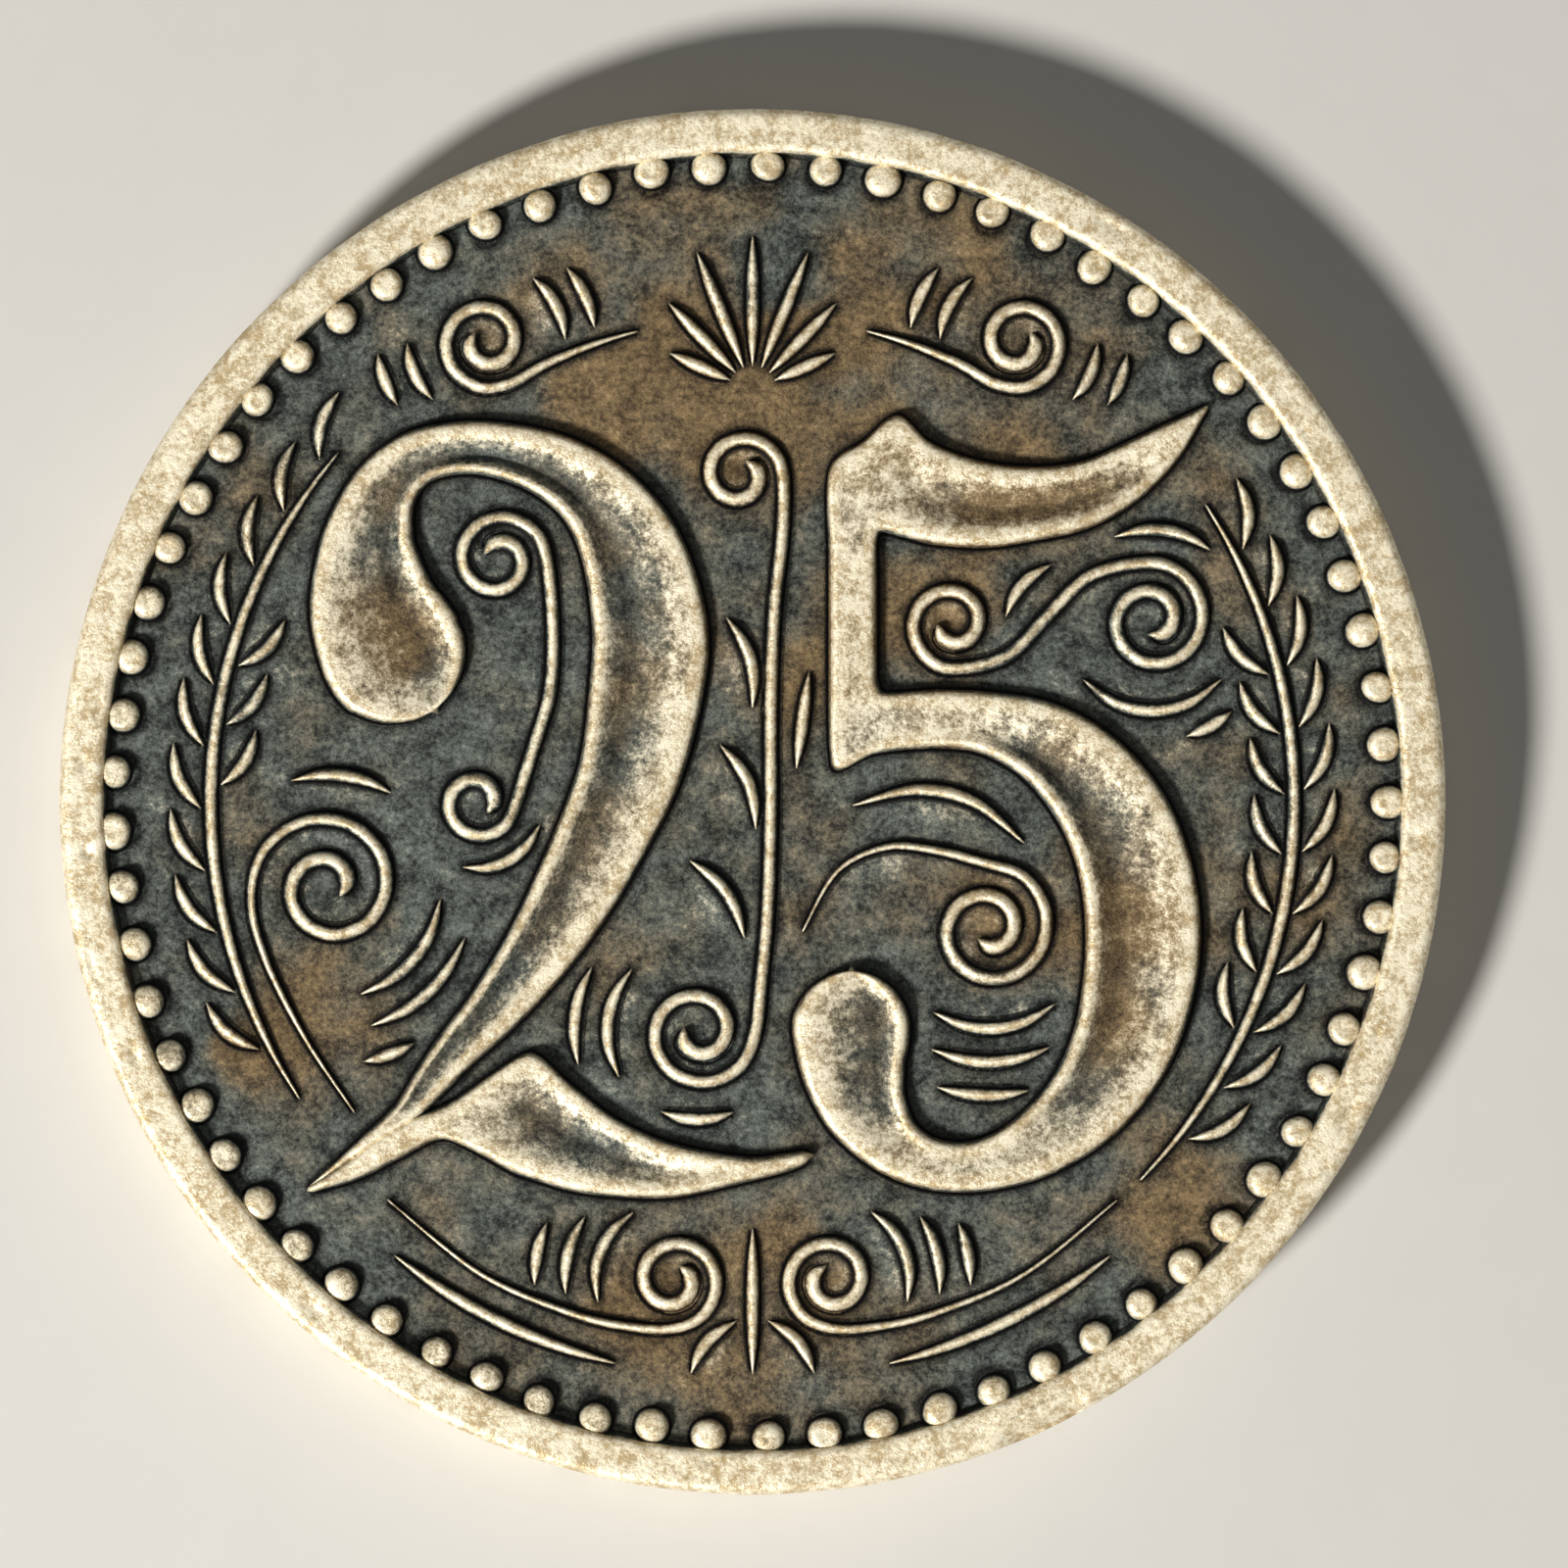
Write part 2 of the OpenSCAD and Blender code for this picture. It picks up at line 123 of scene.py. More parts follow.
class TokenSizes(bpy.types.PropertyGroup):
    """Sizes of the struck relief and its wear"""

    scoop: length("Dish depth", "Depth of a numeral's dish below its borders", 0.17)
    draft: length("Wall run", "Run of the sloping wall at a numeral's foot", 0.075)
    inner_border: length("Inner border", "Width of the border along the inside of a bow", 0.16)
    outer_border: length("Outer border", "Width of the border along the outside of a bow", 0.36)
    flag_border: length("Flag border", "Width of the borders of the foot and the flag", 0.32)
    dish_run: length("Dish run", "Half width at which a dish reaches its full depth", 0.2)
    apron: length("Foot fillet", "Reach of the fillet at the foot of the relief", 0.12)
    ramp: length("Ramp height", "Height of the ramp along the inside of a curved line", 0.085)
    swell: length("Field swell", "Height of the field's broad unevenness", 0.014)
    chatter: length("Surface wear", "Height of the small unevenness of worn metal", 0.005)
    rim_round: length("Rim edge", "Radius of the rim's worn outer edge", 0.16)
    nicks: IntProperty(name="Nicks", description="Small nicks on each rim", default=16, min=0)


class TokenColours(bpy.types.PropertyGroup):
    """Colours of the worn metal and its patina"""

    brass_bright: colour("Bright brass", "Worn crests and rims", 249, 239, 211)
    brass_dull: colour("Dull brass", "Worn metal that has begun to tarnish", 189, 167, 127)
    slate: colour("Slate", "Dark patina of the field", 30, 33, 31)
    slate_pale: colour("Pale slate", "Rubbed patina of the field", 133, 141, 133)
    brown: colour("Brown", "Brown patina", 66, 54, 40)
    gold: colour("Gold brown", "Patches where the brass shows through", 166, 141, 102)
    # Near black, for the dirt and the painted shade at the foot of the relief
    crevice_dirt_and_shade: colour("Crevice", "Dirt at the foot of the relief", 4, 3, 3)
    floor: colour("Floor", "Plain floor under the token", 214, 212, 207)


def sizes(name):
    """A size from the sidebar, in millimetres."""
    return getattr(bpy.context.scene.token_sizes, name) / MM


def tints(name):
    """A colour from the sidebar, for a shader's socket."""
    return (*getattr(bpy.context.scene.token_colours, name), 1)


# The drawing, in grid steps


def spline(stations, steps):
    """Curve through stations, each a row of numbers, with points in between."""
    p = np.asarray(stations, float)
    i = np.arange(len(p) - 1)
    a, b, c, d = p[np.maximum(i - 1, 0)], p[i], p[i + 1], p[np.minimum(i + 2, len(p) - 1)]
    rows = [
        b + (c - a) * t / 2 + (2 * a - 5 * b + 4 * c - d) * t**2 / 2
        + (3 * b - a - 3 * c + d) * t**3 / 2
        for t in np.arange(steps) / steps
    ]
    return np.vstack([np.stack(rows, 1).reshape(-1, p.shape[1]), p[-1]])


def headings(points):
    """Direction of travel at each point of a path."""
    run = np.vstack([points[1:], points[-1]]) - np.vstack([points[0], points[:-1]])
    return run / np.linalg.norm(run, axis=1)[:, None]


def edges(path):
    """Left and right edges of a path whose rows begin x, y, half width."""
    run = headings(path[:, :2])
    out = np.column_stack([-run[:, 1], run[:, 0]]) * path[:, 2:3]
    return path[:, :2] + out, path[:, :2] - out


def outward(turn):
    """Unit steps outwards at angles round the token."""
    return np.column_stack([np.cos(turn), np.sin(turn)])


def arc(centre, radius, start, stop):
    """Points along an arc between two angles, about 7 steps apart."""
    count = max(4, math.ceil(abs(stop - start) * radius * math.pi / 180 / 7))
    return centre + radius * outward(np.radians(np.linspace(start, stop, count + 1)))


def spiral(centre, radius, start, turns, eye=2.4):
    """Points from a spiral's outer radius into its eye, 9 to a turn."""
    count = math.ceil(abs(turns) * 9)
    turn = np.radians(start + 360 * turns * np.arange(count + 1) / count)
    return centre + np.linspace(radius, eye, count + 1)[:, None] * outward(turn)


def leaf(root, tip, bend):
    """Points from root to tip, bowed by a share of the length."""
    root, tip = np.asarray(root, float), np.asarray(tip, float)
    t = np.linspace(0, 1, 5)[:, None]
    run = tip - root
    return root + run * t + np.array([-run[1], run[0]]) * bend * np.sin(np.pi * t)


def polar(radius, turn):
    """The point at a radius and an angle."""
    return np.array([radius * math.cos(math.radians(turn)), radius * math.sin(math.radians(turn))])


def pointed(points, half=LINE_HALF):
    """A stroke that swells from one point and closes at another."""
    t = np.linspace(0, 1, len(points))
    return np.column_stack([points, half * np.maximum(0.25, np.sqrt(np.abs(np.sin(np.pi * t))))])


def eyed(points):
    """A stroke that begins at a point and ends in a scroll's eye."""
    t = np.linspace(0, 1, len(points))
    half = LINE_HALF * np.maximum(0.25, np.minimum(1, np.sqrt(t / 0.35)) + 0.25 * t * t)
    half[-1] = LINE_HALF * 0.5
    return np.column_stack([points, half])


def both_eyed(points):
    """A stroke with a scroll's eye at either end."""
    t = np.abs(np.linspace(-1, 1, len(points)))
    half = LINE_HALF * (1 + 0.25 * t * t)
    half[[0, -1]] = LINE_HALF * 0.5
    return np.column_stack([points, half])


def echoes(eye, arcs):
    """Arcs that repeat a scroll's curve, as radius, from, to about its eye."""
    return [pointed(arc(eye, *a)) for a in arcs]


def leaves(stem_r, out, half, tip, run, pitch, foot, top):
    """Leaves along one side of a stem, out from it or in, between two angles."""
    up = 1 if top > foot else -1
    root = LINE_HALF + half * 0.25 + LEAF_GAP
    turns = foot + up * pitch * np.arange(math.floor(abs(top - foot) / pitch + 1e-6) + 1)
    return [
        pointed(leaf(polar(stem_r + out * root, t), polar(stem_r + out * tip, t + up * run),
                     -out * up * 0.12), half)
        for t in turns
    ]


def mirrored(strokes):
    """Strokes turned over from right to left."""
    return [s * [-1, 1, 1] for s in strokes]


ORIGIN = (0, 0)


def crest_fan():
    base, strokes = np.array([0, 68]), []
    for turn, far in ((0, 25), (22, 24), (44, 19.5), (66, 14.5)):
        for side in (1,) if turn == 0 else (-1, 1):
            out = np.array([side * math.sin(math.radians(turn)), math.cos(math.radians(turn))])
            strokes.append(pointed(leaf(base + out * 4.5, base + out * far, 0)))
    return strokes


def crest_scroll():
    eye = (44, 76)
    return [eyed(np.vstack([arc(ORIGIN, 80, 76, 64), spiral(eye, 8, 240, 1.4)]))] + echoes(
        eye, [(13, 176, 128), (18, 171, 139), (13, -3, -45), (18, -8, -34)])


def spray(foot, top, inner_foot, inner_top):
    """A stem along the beads between two angles, with leaves outside and inside it."""
    stem_r, pitch = 89.5, 6.5
    growth = {"half": LINE_HALF, "tip": 6.6, "run": 6, "pitch": pitch}
    first = foot + pitch * (1 if top > foot else -1)
    return (
        [pointed(arc(ORIGIN, stem_r, foot, top))]
        + leaves(stem_r, 1, foot=first, top=top, **growth)
        + leaves(stem_r, -1, foot=inner_foot, top=inner_top, **growth)
    )


def hook_scroll():
    eye = (-45.5, 0)
    return [both_eyed(np.vstack([
        spiral((-42, 40), 8, 0, 1.4)[::-1], [(-33, 29), (-33.5, 18), (-36.5, 8)],
        spiral(eye, 6.5, 0, -1.1)]))] + echoes(eye, [(11, -22, -100)])


def diagonal_scroll():
    eye = (-70, -14)
    return [eyed(np.vstack([
        [(-66, -51), (-74, -39), (-80.5, -26)], spiral(eye, 13, 190, -1.6)]))] + echoes(
        eye, [(18.5, 108, 58), (18.5, -8, -72), (24, -22, -72), (29.5, -62, -78)])


def centre_scroll():
    eye = (-9, -38)
    stem = [(5, 45), (3.5, 30), (3, 14), (3, -2), (2.5, -18), (1.5, -29)]
    return [both_eyed(np.vstack([
        spiral((-2, 54), 7, 0, 1.15)[::-1], stem, spiral(eye, 9.5, 0, -1.5)]))] + echoes(
        eye, [(15, 138, 208), (20.5, 150, 194), (14.5, 247, 292)]) + [
        pointed(leaf(*ends)) for ends in (
            ((0, 16), (-4, 30), -0.12), ((0.5, -4), (-5, 9), -0.12),
            ((-1.5, -22), (-10, -10), -0.12), ((7.3, 6), (9.3, 21), 0))]


def flag_scroll():
    eye = (66, 30)
    return [both_eyed(np.vstack([
        spiral((33, 29.5), 7.5, 270, -1.2)[::-1], [(42, 24), (49, 31), (56, 37.5)],
        spiral(eye, 9.5, 90, -1.5)]))] + echoes(
        eye, [(15, 112, 52), (15, 222, 318), (20, -72, -50)]) + [
        pointed(leaf((42, 31), (49, 39), 0.12))]


def bowl_scroll():
    eye = (39, -21)
    return [
        eyed(np.vstack([[(8.5, -21), (14, -11.5), (22, -7.5), (30, -8)], spiral(eye, 11, 95, -1.6)])),
        pointed(np.array([(17, -0.5), (27, 2), (36.5, 0), (44.5, -6.5)])),
    ] + echoes(eye, [(16.5, -50, -122), (22, -64, -114), (27.5, -77, -107)])


def base_drops():
    return [pointed(leaf((0, -71), (0, -94), 0))] + [
        pointed(leaf((side * 3, -86), (side * 10, -94), side * 0.12)) for side in (-1, 1)]


def base_scroll():
    eye = (13, -79)
    return [eyed(np.vstack([
        [(60, -66), (45, -78), (30, -84.5), (20, -86.8)], spiral(eye, 8, 270, -1.4)]))] + echoes(
        eye, [(13, 58, -14), (18, 34, -6), (23, 23, -1)]) + [pointed(arc(ORIGIN, 95.5, 308, 284))]


def wreath_branch():
    """One branch of the wreath, with leaves on both sides of its stem."""
    foot, first, top, stem_r, pitch = -86, -75, 62, 70, 11.5
    strokes = [pointed(arc(ORIGIN, stem_r, foot, top + pitch))]
    for out in (-1, 1):
        strokes += leaves(stem_r, out, WREATH_HALF, tip=14, run=11, pitch=pitch, foot=first, top=top)
    return strokes


FRONT_LINES = {
    "crest_fan": crest_fan(),
    "crest_scroll_left": mirrored(crest_scroll()),
    "crest_scroll_right": crest_scroll(),
    "side_spray_left": spray(213, 140, 178, 164),
    "side_spray_right": spray(-44, 33, -25, 14),
    "hook_scroll": hook_scroll(),
    "diagonal_scroll": diagonal_scroll(),
    "centre_scroll": centre_scroll(),
    "flag_scroll": flag_scroll(),
    "bowl_scroll": bowl_scroll(),
    "base_drops": base_drops(),
    "base_scroll_left": mirrored(base_scroll()),
    "base_scroll_right": base_scroll(),
}
BACK_LINES = {
    "back_wreath_left": mirrored(wreath_branch()),
    "back_wreath_right": wreath_branch(),
}


def round_end(x, y, radius, out):
    """Stations that close a numeral's ball, from its tip to its centre."""
    return [
        (x + out[0] * radius * math.sin(math.radians(t)), y + out[1] * radius * math.sin(math.radians(t)),
         radius * math.cos(math.radians(t)), dish)
        for t, dish in ((86, 0), (68, 0), (46, 0.55), (23, 1), (0, 1))
    ]


# Rows of x, y, half width and dish, or of two edge points and dish
TWO_BOW = round_end(-59.5, 25, 12.2, (0.58, -0.81)) + [
    (-62.5, 32, 11, 1), (-63.5, 39.5, 9, 1), (-63, 45.5, 7.3, 1), (-60.5, 52, 5.7, 1),
    (-55, 57, 4.7, 1), (-45.5, 58.5, 4.6, 1), (-34.5, 56, 5.5, 1), (-26, 50.5, 6.8, 1),
    (-20, 41.5, 8.6, 1), (-17, 29, 9.7, 1), (-17.5, 19, 9.6, 1), (-20, 6, 8.7, 1),
    (-24, -4, 7.9, 1), (-29, -14, 7.2, 1), (-35, -24, 6.1, 1), (-42.5, -34, 4.8, 1),
    (-48.5, -40.5, 3.9, 1), (-53, -46, 3.2, 1), (-57.5, -51.5, 2.3, 0.7),
    (-63.5, -56, 1.4, 0), (-68.5, -60, 0.8, 0), (-73, -63.5, 0.3, 0)]
TWO_FOOT = [
    (-73.4, -63.4, -72.4, -64.6, 0), (-67.6, -59.3, -65, -62.5, 0), (-62.2, -55.2, -59, -59.5, 0),
    (-56.8, -52.2, -52, -56, 0), (-50.2, -49.5, -48, -57, 0), (-43.5, -45, -44, -59, 0.2),
    (-38, -41.5, -39.5, -61.5, 0.9), (-35, -42, -35, -63, 1), (-30, -46.5, -30, -64.5, 1),
    (-22, -52.5, -22, -65.5, 1), (-12.5, -56.5, -12.5, -65.5, 0.4), (-1, -58.5, -1, -63, 0),
    (5, -58, 5.4, -61.4, 0), (8, -57.6, 8.4, -60.2, 0), (9.4, -57.9, 9.5, -59.2, 0)]
FIVE_FLAG = [
    (75, 64.2, 74.5, 65.4, 0), (70.5, 56.5, 69, 63, 0), (63.5, 49.5, 61.5, 59.5, 0.6),
    (55.5, 45, 54.5, 56.5, 1), (47, 43, 46.5, 55.5, 1), (38.5, 41.8, 37.5, 56.5, 1),
    (30, 42.3, 29.5, 59.5, 0.8), (25, 43.5, 24, 64, 0.2), (21.5, 44.3, 18.5, 60, 0),
    (20.7, 43, 12.6, 55, 0), (20.7, 39, 12.4, 42, 0)]
FIVE_STEM = [(20.7, 39, 12.4, 42, 0), (20.7, 30, 12.4, 30, 0), (20.7, 20.5, 12.4, 18, 0)]
FIVE_TURN = [
    (20.7, 20.5, 12.4, 18, 0), (21.5, 18.4, 12.6, 8.5, 0), (23.5, 18.2, 14, 5, 0),
    (26.5, 18.4, 20.5, 7.8, 0)]
FIVE_BOWL = [
    (30, 13.7, 5, 0), (38.3, 13.1, 5.3, 0.3), (47.2, 10.2, 6.8, 0.9), (54.4, 4.8, 8.1, 1),
    (60, -2.7, 9, 1), (63.3, -11.6, 9.5, 1), (64.5, -21.3, 9.7, 1), (63.7, -31, 9.4, 1),
    (60.9, -40.7, 8.6, 1), (55.3, -49.6, 7.3, 0.9), (47.2, -56.4, 5.8, 0.5), (38.3, -60, 4.5, 0.1),
    (30.2, -60, 4.4, 0), (23.7, -57, 5.2, 0.3), (19, -51.2, 7.1, 0.9), (16.8, -44.7, 8.7, 1),
] + round_end(16.3, -37.8, 9.9, (0, 1))[::-1]

NUMERAL_STEPS = 12
LINE_STEPS = 7


@lru_cache(maxsize=None)
def numeral_strokes():
    """Left edge, right edge and dish of each numeral's stroke, in millimetres."""
    def from_path(path):
        left, right = edges(path)
        return left, right, path[:, 3]

    def from_edges(rows):
        return rows[:, 0:2], rows[:, 2:4], rows[:, 4]

    bowl = from_path(spline(FIVE_BOWL, NUMERAL_STEPS))
    joined = FIVE_TURN + [(*bowl[0][0], *bowl[1][0], bowl[2][0])]
    turn = from_edges(spline(joined, NUMERAL_STEPS))
    strokes = {
        "numeral_two_bow": from_path(spline(TWO_BOW, NUMERAL_STEPS)),
        "numeral_two_foot": from_edges(spline(TWO_FOOT, NUMERAL_STEPS)),
        "numeral_five_flag": from_edges(spline(FIVE_FLAG, NUMERAL_STEPS)),
        "numeral_five_stem": from_edges(spline(FIVE_STEM, NUMERAL_STEPS)),
        "numeral_five_bowl": tuple(np.concatenate([t[:-1], b]) for t, b in zip(turn, bowl)),
    }
    return {n: (l * GRID, r * GRID, np.clip(d, 0, 1)) for n, (l, r, d) in strokes.items()}


@lru_cache(maxsize=None)
def line_strokes(side):
    """Left and right edges of every line on one side, in millimetres, by node."""
    found = {}
    for name, strokes in (FRONT_LINES if side == "front" else BACK_LINES).items():
        found[name] = [tuple(e * GRID for e in edges(spline(s, LINE_STEPS))) for s in strokes]
    return found


# The field


def rough(x, y, cell, seed):
    """Smooth random heights, about -1 to 1, with humps of that size in millimetres."""
    table = np.random.default_rng(seed).uniform(-1, 1, (128, 128))
    gx, gy = np.asarray(x) / cell + 64, np.asarray(y) / cell + 64
    ix, iy = np.floor(gx).astype(int), np.floor(gy).astype(int)
    fx, fy = gx - ix, gy - iy
    fx, fy = fx * fx * (3 - 2 * fx), fy * fy * (3 - 2 * fy)
    corner = [[table[(ix + i) % 128, (iy + j) % 128] for j in (0, 1)] for i in (0, 1)]
    low = corner[0][0] * (1 - fx) + corner[1][0] * fx
    high = corner[0][1] * (1 - fx) + corner[1][1] * fx
    return low * (1 - fy) + high * fy


# How far the dirt and painted shade spread from the foot of the relief
DIRT_AND_SHADE_REACH = 0.095


def dirt_and_shade_falloff(distance):
    """Share of dirt and painted shade at a distance, in millimetres, from the foot of the relief."""
    return np.exp(-np.maximum(distance, 0) / DIRT_AND_SHADE_REACH)


def nearest(points, x, y):
    """For each place, which of the points is nearest and how far off it is."""
    tree = kdtree.KDTree(len(points))
    for i, p in enumerate(points):
        tree.insert((*p, 0), i)
    tree.balance()
    index, away = zip(*(tree.find((*p, 0))[1:] for p in zip(x.ravel(), y.ravel())))
    return np.array(index), np.array(away)


def blurred(raster, times):
    """A raster with its small steps evened out."""
    for _ in range(times):
        raster = raster.copy()
        raster[1:-1] = (raster[:-2] + 2 * raster[1:-1] + raster[2:]) / 4
        raster[:, 1:-1] = (raster[:, :-2] + 2 * raster[:, 1:-1] + raster[:, 2:]) / 4
    return raster


# Stains where the brown and golden patina gathers: x, y, size and strength, in millimetres
STAINS = {
    "front": [
        (-0.1, 5.8, 1.3, 1.0), (-1.9, 6.3, 0.9, 0.8), (-3.7, 7.8, 1.2, 0.5), (1.2, 6.9, 0.8, 0.7),
        (7.6, 3.2, 1.0, 0.5), (7.7, -1.2, 1.0, 0.6), (6.4, -6.0, 1.0, 0.6), (0.2, -6.7, 1.2, 0.6),
        (-2.2, -7.3, 0.9, 0.5), (-6.9, -3.6, 1.1, 0.8), (-8.0, -3.7, 0.4, 1.0), (0.5, 1.4, 0.8, 0.5),
        (2.8, 2.6, 0.8, 0.7), (3.6, -1.6, 0.9, 0.6), (4.6, 7.4, 1.2, 0.4),
        (-5.4, 2.4, 0.9, 0.8), (3.9, 4.6, 1.3, 0.7), (1.5, 2.8, 0.8, 0.6), (5.4, -1.7, 0.9, 0.8),
        (5.6, -3.6, 0.7, 0.5), (-1.2, 8.3, 1.7, 0.6), (2.4, 8.2, 1.5, 0.6), (-1.0, -8.4, 1.5, 0.5)],
    "back": [
        (2.0, 3.1, 1.5, 0.7), (-4.2, -2.2, 1.2, 0.8), (5.9, -4.8, 1.1, 0.6), (-6.5, 4.6, 0.9, 0.7)],
}
# The ramp inside a curved line: its reach, and how sharp a bend raises it to its full height
RAMP_REACH, BEND_PULL = 0.38, 1.6
# The step on the line's outside: its depth as a share of the ramp, and its reach
STEP_SHARE, STEP_REACH = 0.35, 0.12


class Field:
    """Height, dirt with painted shade, and brownness over one field, on a square raster."""

    def __init__(self, side):
        self.side = side
        self.span = TOKEN_R + 0.1
        self.count = 481
        axis = np.linspace(-self.span, self.span, self.count)
        x, y = np.meshgrid(axis, axis, indexing="ij")
        near = nearest(self.feet(), x, y)[1].reshape(x.shape)
        swell = rough(x, y, 1.5, 11) + 0.6 * rough(x, y, 0.55, 12) + 0.3 * rough(x, y, 0.22, 13)
        self.height = blurred(sizes("swell") * swell + self.ramps(x, y), 2)
        rim = RIM_INNER_R - np.hypot(x, y)
        # Dirt and painted shade: darker near the foot of all that stands on the field, and along the rim's
        # inner wall
        self.crevice_dirt_and_shade = np.maximum(dirt_and_shade_falloff(near), 0.6 * dirt_and_shade_falloff(np.abs(rim)))
        self.warm = 0.25 * rough(x, y, 2.2, 21) + 0.15 * rough(x, y, 0.8, 22)
        for sx, sy, size, strength in STAINS[side]:
            edge = 1 + 0.35 * rough(x, y, 0.7, 23)
            self.warm += strength * np.exp(-((x - sx) ** 2 + (y - sy) ** 2) / (size * edge) ** 2)

    def strokes(self):
        """Edges of every line on this field."""
        return [s for group in line_strokes(self.side).values() for s in group]

    def feet(self):
        """Points along the foot of everything that stands on this field."""
        rows = [np.vstack([left, right]) for left, right in self.strokes()]
        if self.side == "front":
            rows += [np.vstack([left, right]) for left, right, _ in numeral_strokes().values()]
        else:
            ring = outward(np.linspace(0, 2 * np.pi, 500))
            rows += [ring * r for r in reach("back_ring")]
        circle = outward(np.radians(np.arange(0, 360, 20))) * BEAD_R
        rows += [circle + c for c in bead_centres(self.side)]
        return np.vstack(rows)

    def ramps(self, x, y):
        """A ramp up to the inside of each curved line, and a step down on its outside."""
        middles, normals, bends = [], [], []
        for left, right in self.strokes():
            middle = (left + right) / 2
            run = headings(middle)
            turn = np.gradient(np.unwrap(np.arctan2(run[:, 1], run[:, 0])))
            step = np.linalg.norm(np.gradient(middle, axis=0), axis=1)
            middles.append(middle)
            normals.append(np.column_stack([-run[:, 1], run[:, 0]]))
            bends.append(turn / step)
        middles, normals, bends = np.vstack(middles), np.vstack(normals), np.concatenate(bends)
        flat = np.column_stack([x.ravel(), y.ravel()])
        found = nearest(middles, x, y)[0]
        across = np.einsum("ij,ij->i", flat - middles[found], normals[found])
        away = np.linalg.norm(flat - middles[found], axis=1)
        inside = np.sign(bends[found]) * across > 0
        pull = np.clip(np.abs(bends[found]) * BEND_PULL, 0, 1)
        up = sizes("ramp") * np.exp(-away / RAMP_REACH)
        down = -STEP_SHARE * sizes("ramp") * np.exp(-away / STEP_REACH)
        return (np.where(inside, up, down) * pull).reshape(x.shape)

    def at(self, raster, x, y):
        """A raster's value at points, between its samples."""
        last = self.count - 1
        gx = np.clip((np.asarray(x) + self.span) / (2 * self.span) * last, 0, last - 1e-6)
        gy = np.clip((np.asarray(y) + self.span) / (2 * self.span) * last, 0, last - 1e-6)
        ix, iy = gx.astype(int), gy.astype(int)
        fx, fy = gx - ix, gy - iy
        low = raster[ix, iy] * (1 - fx) + raster[ix + 1, iy] * fx
        high = raster[ix, iy + 1] * (1 - fx) + raster[ix + 1, iy + 1] * fx
        return low * (1 - fy) + high * fy


@lru_cache(maxsize=None)
def field(side):
    """The field of one side, worked out once for all that stands on it."""
    return Field(side)


@lru_cache(maxsize=None)
def bead_centres(side):
    """Centres of the beads on one side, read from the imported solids."""
    points = solid_points(side + "_beads")
    turn = np.sort(np.arctan2(points[:, 1], points[:, 0]) % (2 * np.pi))
    least_gap = 0.25 * BEAD_R / BEAD_RING_R
    gaps = np.flatnonzero(np.diff(turn) > least_gap)
    starts, ends = np.r_[turn[0], turn[gaps + 1]], np.r_[turn[gaps], turn[-1]]
    if turn[0] + 2 * np.pi - turn[-1] < least_gap:
        starts[0] = starts[-1] - 2 * np.pi
        starts, ends = starts[:-1], ends[:-1]
    return outward((starts + ends) / 2) * BEAD_RING_R


# Meshes


SHARP_ANGLE = math.radians(62)


class Piece:
    """Points, faces and surface values of one piece, in millimetres on the front field."""

    def __init__(self, name):
        self.name = name
        self.points, self.faces, self.values = [], [], {"wear": [], "crevice_dirt_and_shade": [], "warm": []}
        self.total = 0

    def add(self, points, faces, wear, crevice_dirt_and_shade, warm):
        points = np.asarray(points, float).reshape(-1, 3)
        self.points.append(points)
        self.faces += [tuple(i + self.total for i in f) for f in faces]
        for key, value in zip(self.values, (wear, crevice_dirt_and_shade, warm)):
            self.values[key].append(np.broadcast_to(np.asarray(value, float).ravel(), len(points)))
        self.total += len(points)

    def make(self, material, node, side="front"):
        """The finished object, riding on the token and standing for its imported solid."""
        points = np.vstack(self.points)
        if side == "back":
            points[:, 2] = FRONT_Z + BACK_Z - points[:, 2]
        mesh = bpy.data.meshes.new(self.name)
        mesh.from_pydata((points * MM).tolist(), [], self.faces)
        shape = bmesh.new()
        shape.from_mesh(mesh)
        bmesh.ops.recalc_face_normals(shape, faces=shape.faces)
        shape.to_mesh(mesh)
        shape.free()
        for key, parts in self.values.items():
            attribute = mesh.attributes.new(key, "FLOAT", "POINT")
            attribute.data.foreach_set("value", np.concatenate(parts).astype(np.float32))
        mesh.shade_smooth()
        mesh.set_sharp_from_angle(angle=SHARP_ANGLE)
        mesh.materials.append(material)
        obj = bpy.data.objects.new(self.name, mesh)
        bpy.context.scene.collection.objects.link(obj)
        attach(obj, "root")
        if node:
            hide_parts(node)
        return obj


def grid_faces(rows, columns, closed=True, ring=False):
    """Quads over rows of points.

    closed joins each row's end to its start, and ring joins the last row to the first.
    """
    return [
        (i * columns + j, i * columns + (j + 1) % columns,
         (i + 1) % rows * columns + (j + 1) % columns, (i + 1) % rows * columns + j)
        for i in range(rows if ring else rows - 1)
        for j in range(columns if closed else columns - 1)
    ]


def smoothstep(t):
    """0 below 0, 1 above 1, and an easy curve between."""
    t = np.clip(t, 0, 1)
    return t * t * (3 - 2 * t)


# The fillet at a stroke's foot: shares of its reach, and heights there
APRON_SHARES = np.array([1.0, 0.62, 0.3])
APRON_HEIGHTS = np.array([-SUNK, 0.002, 0.012])
# How far a stroke's closing point lies beyond its end
TIP_REACH = 0.09
# Heights from which a stroke is clear of the field's unevenness, and of the dirt and painted shade at its
# foot
CLEAR_HEIGHT, UNDARKENED_HEIGHT = 0.08, 0.09


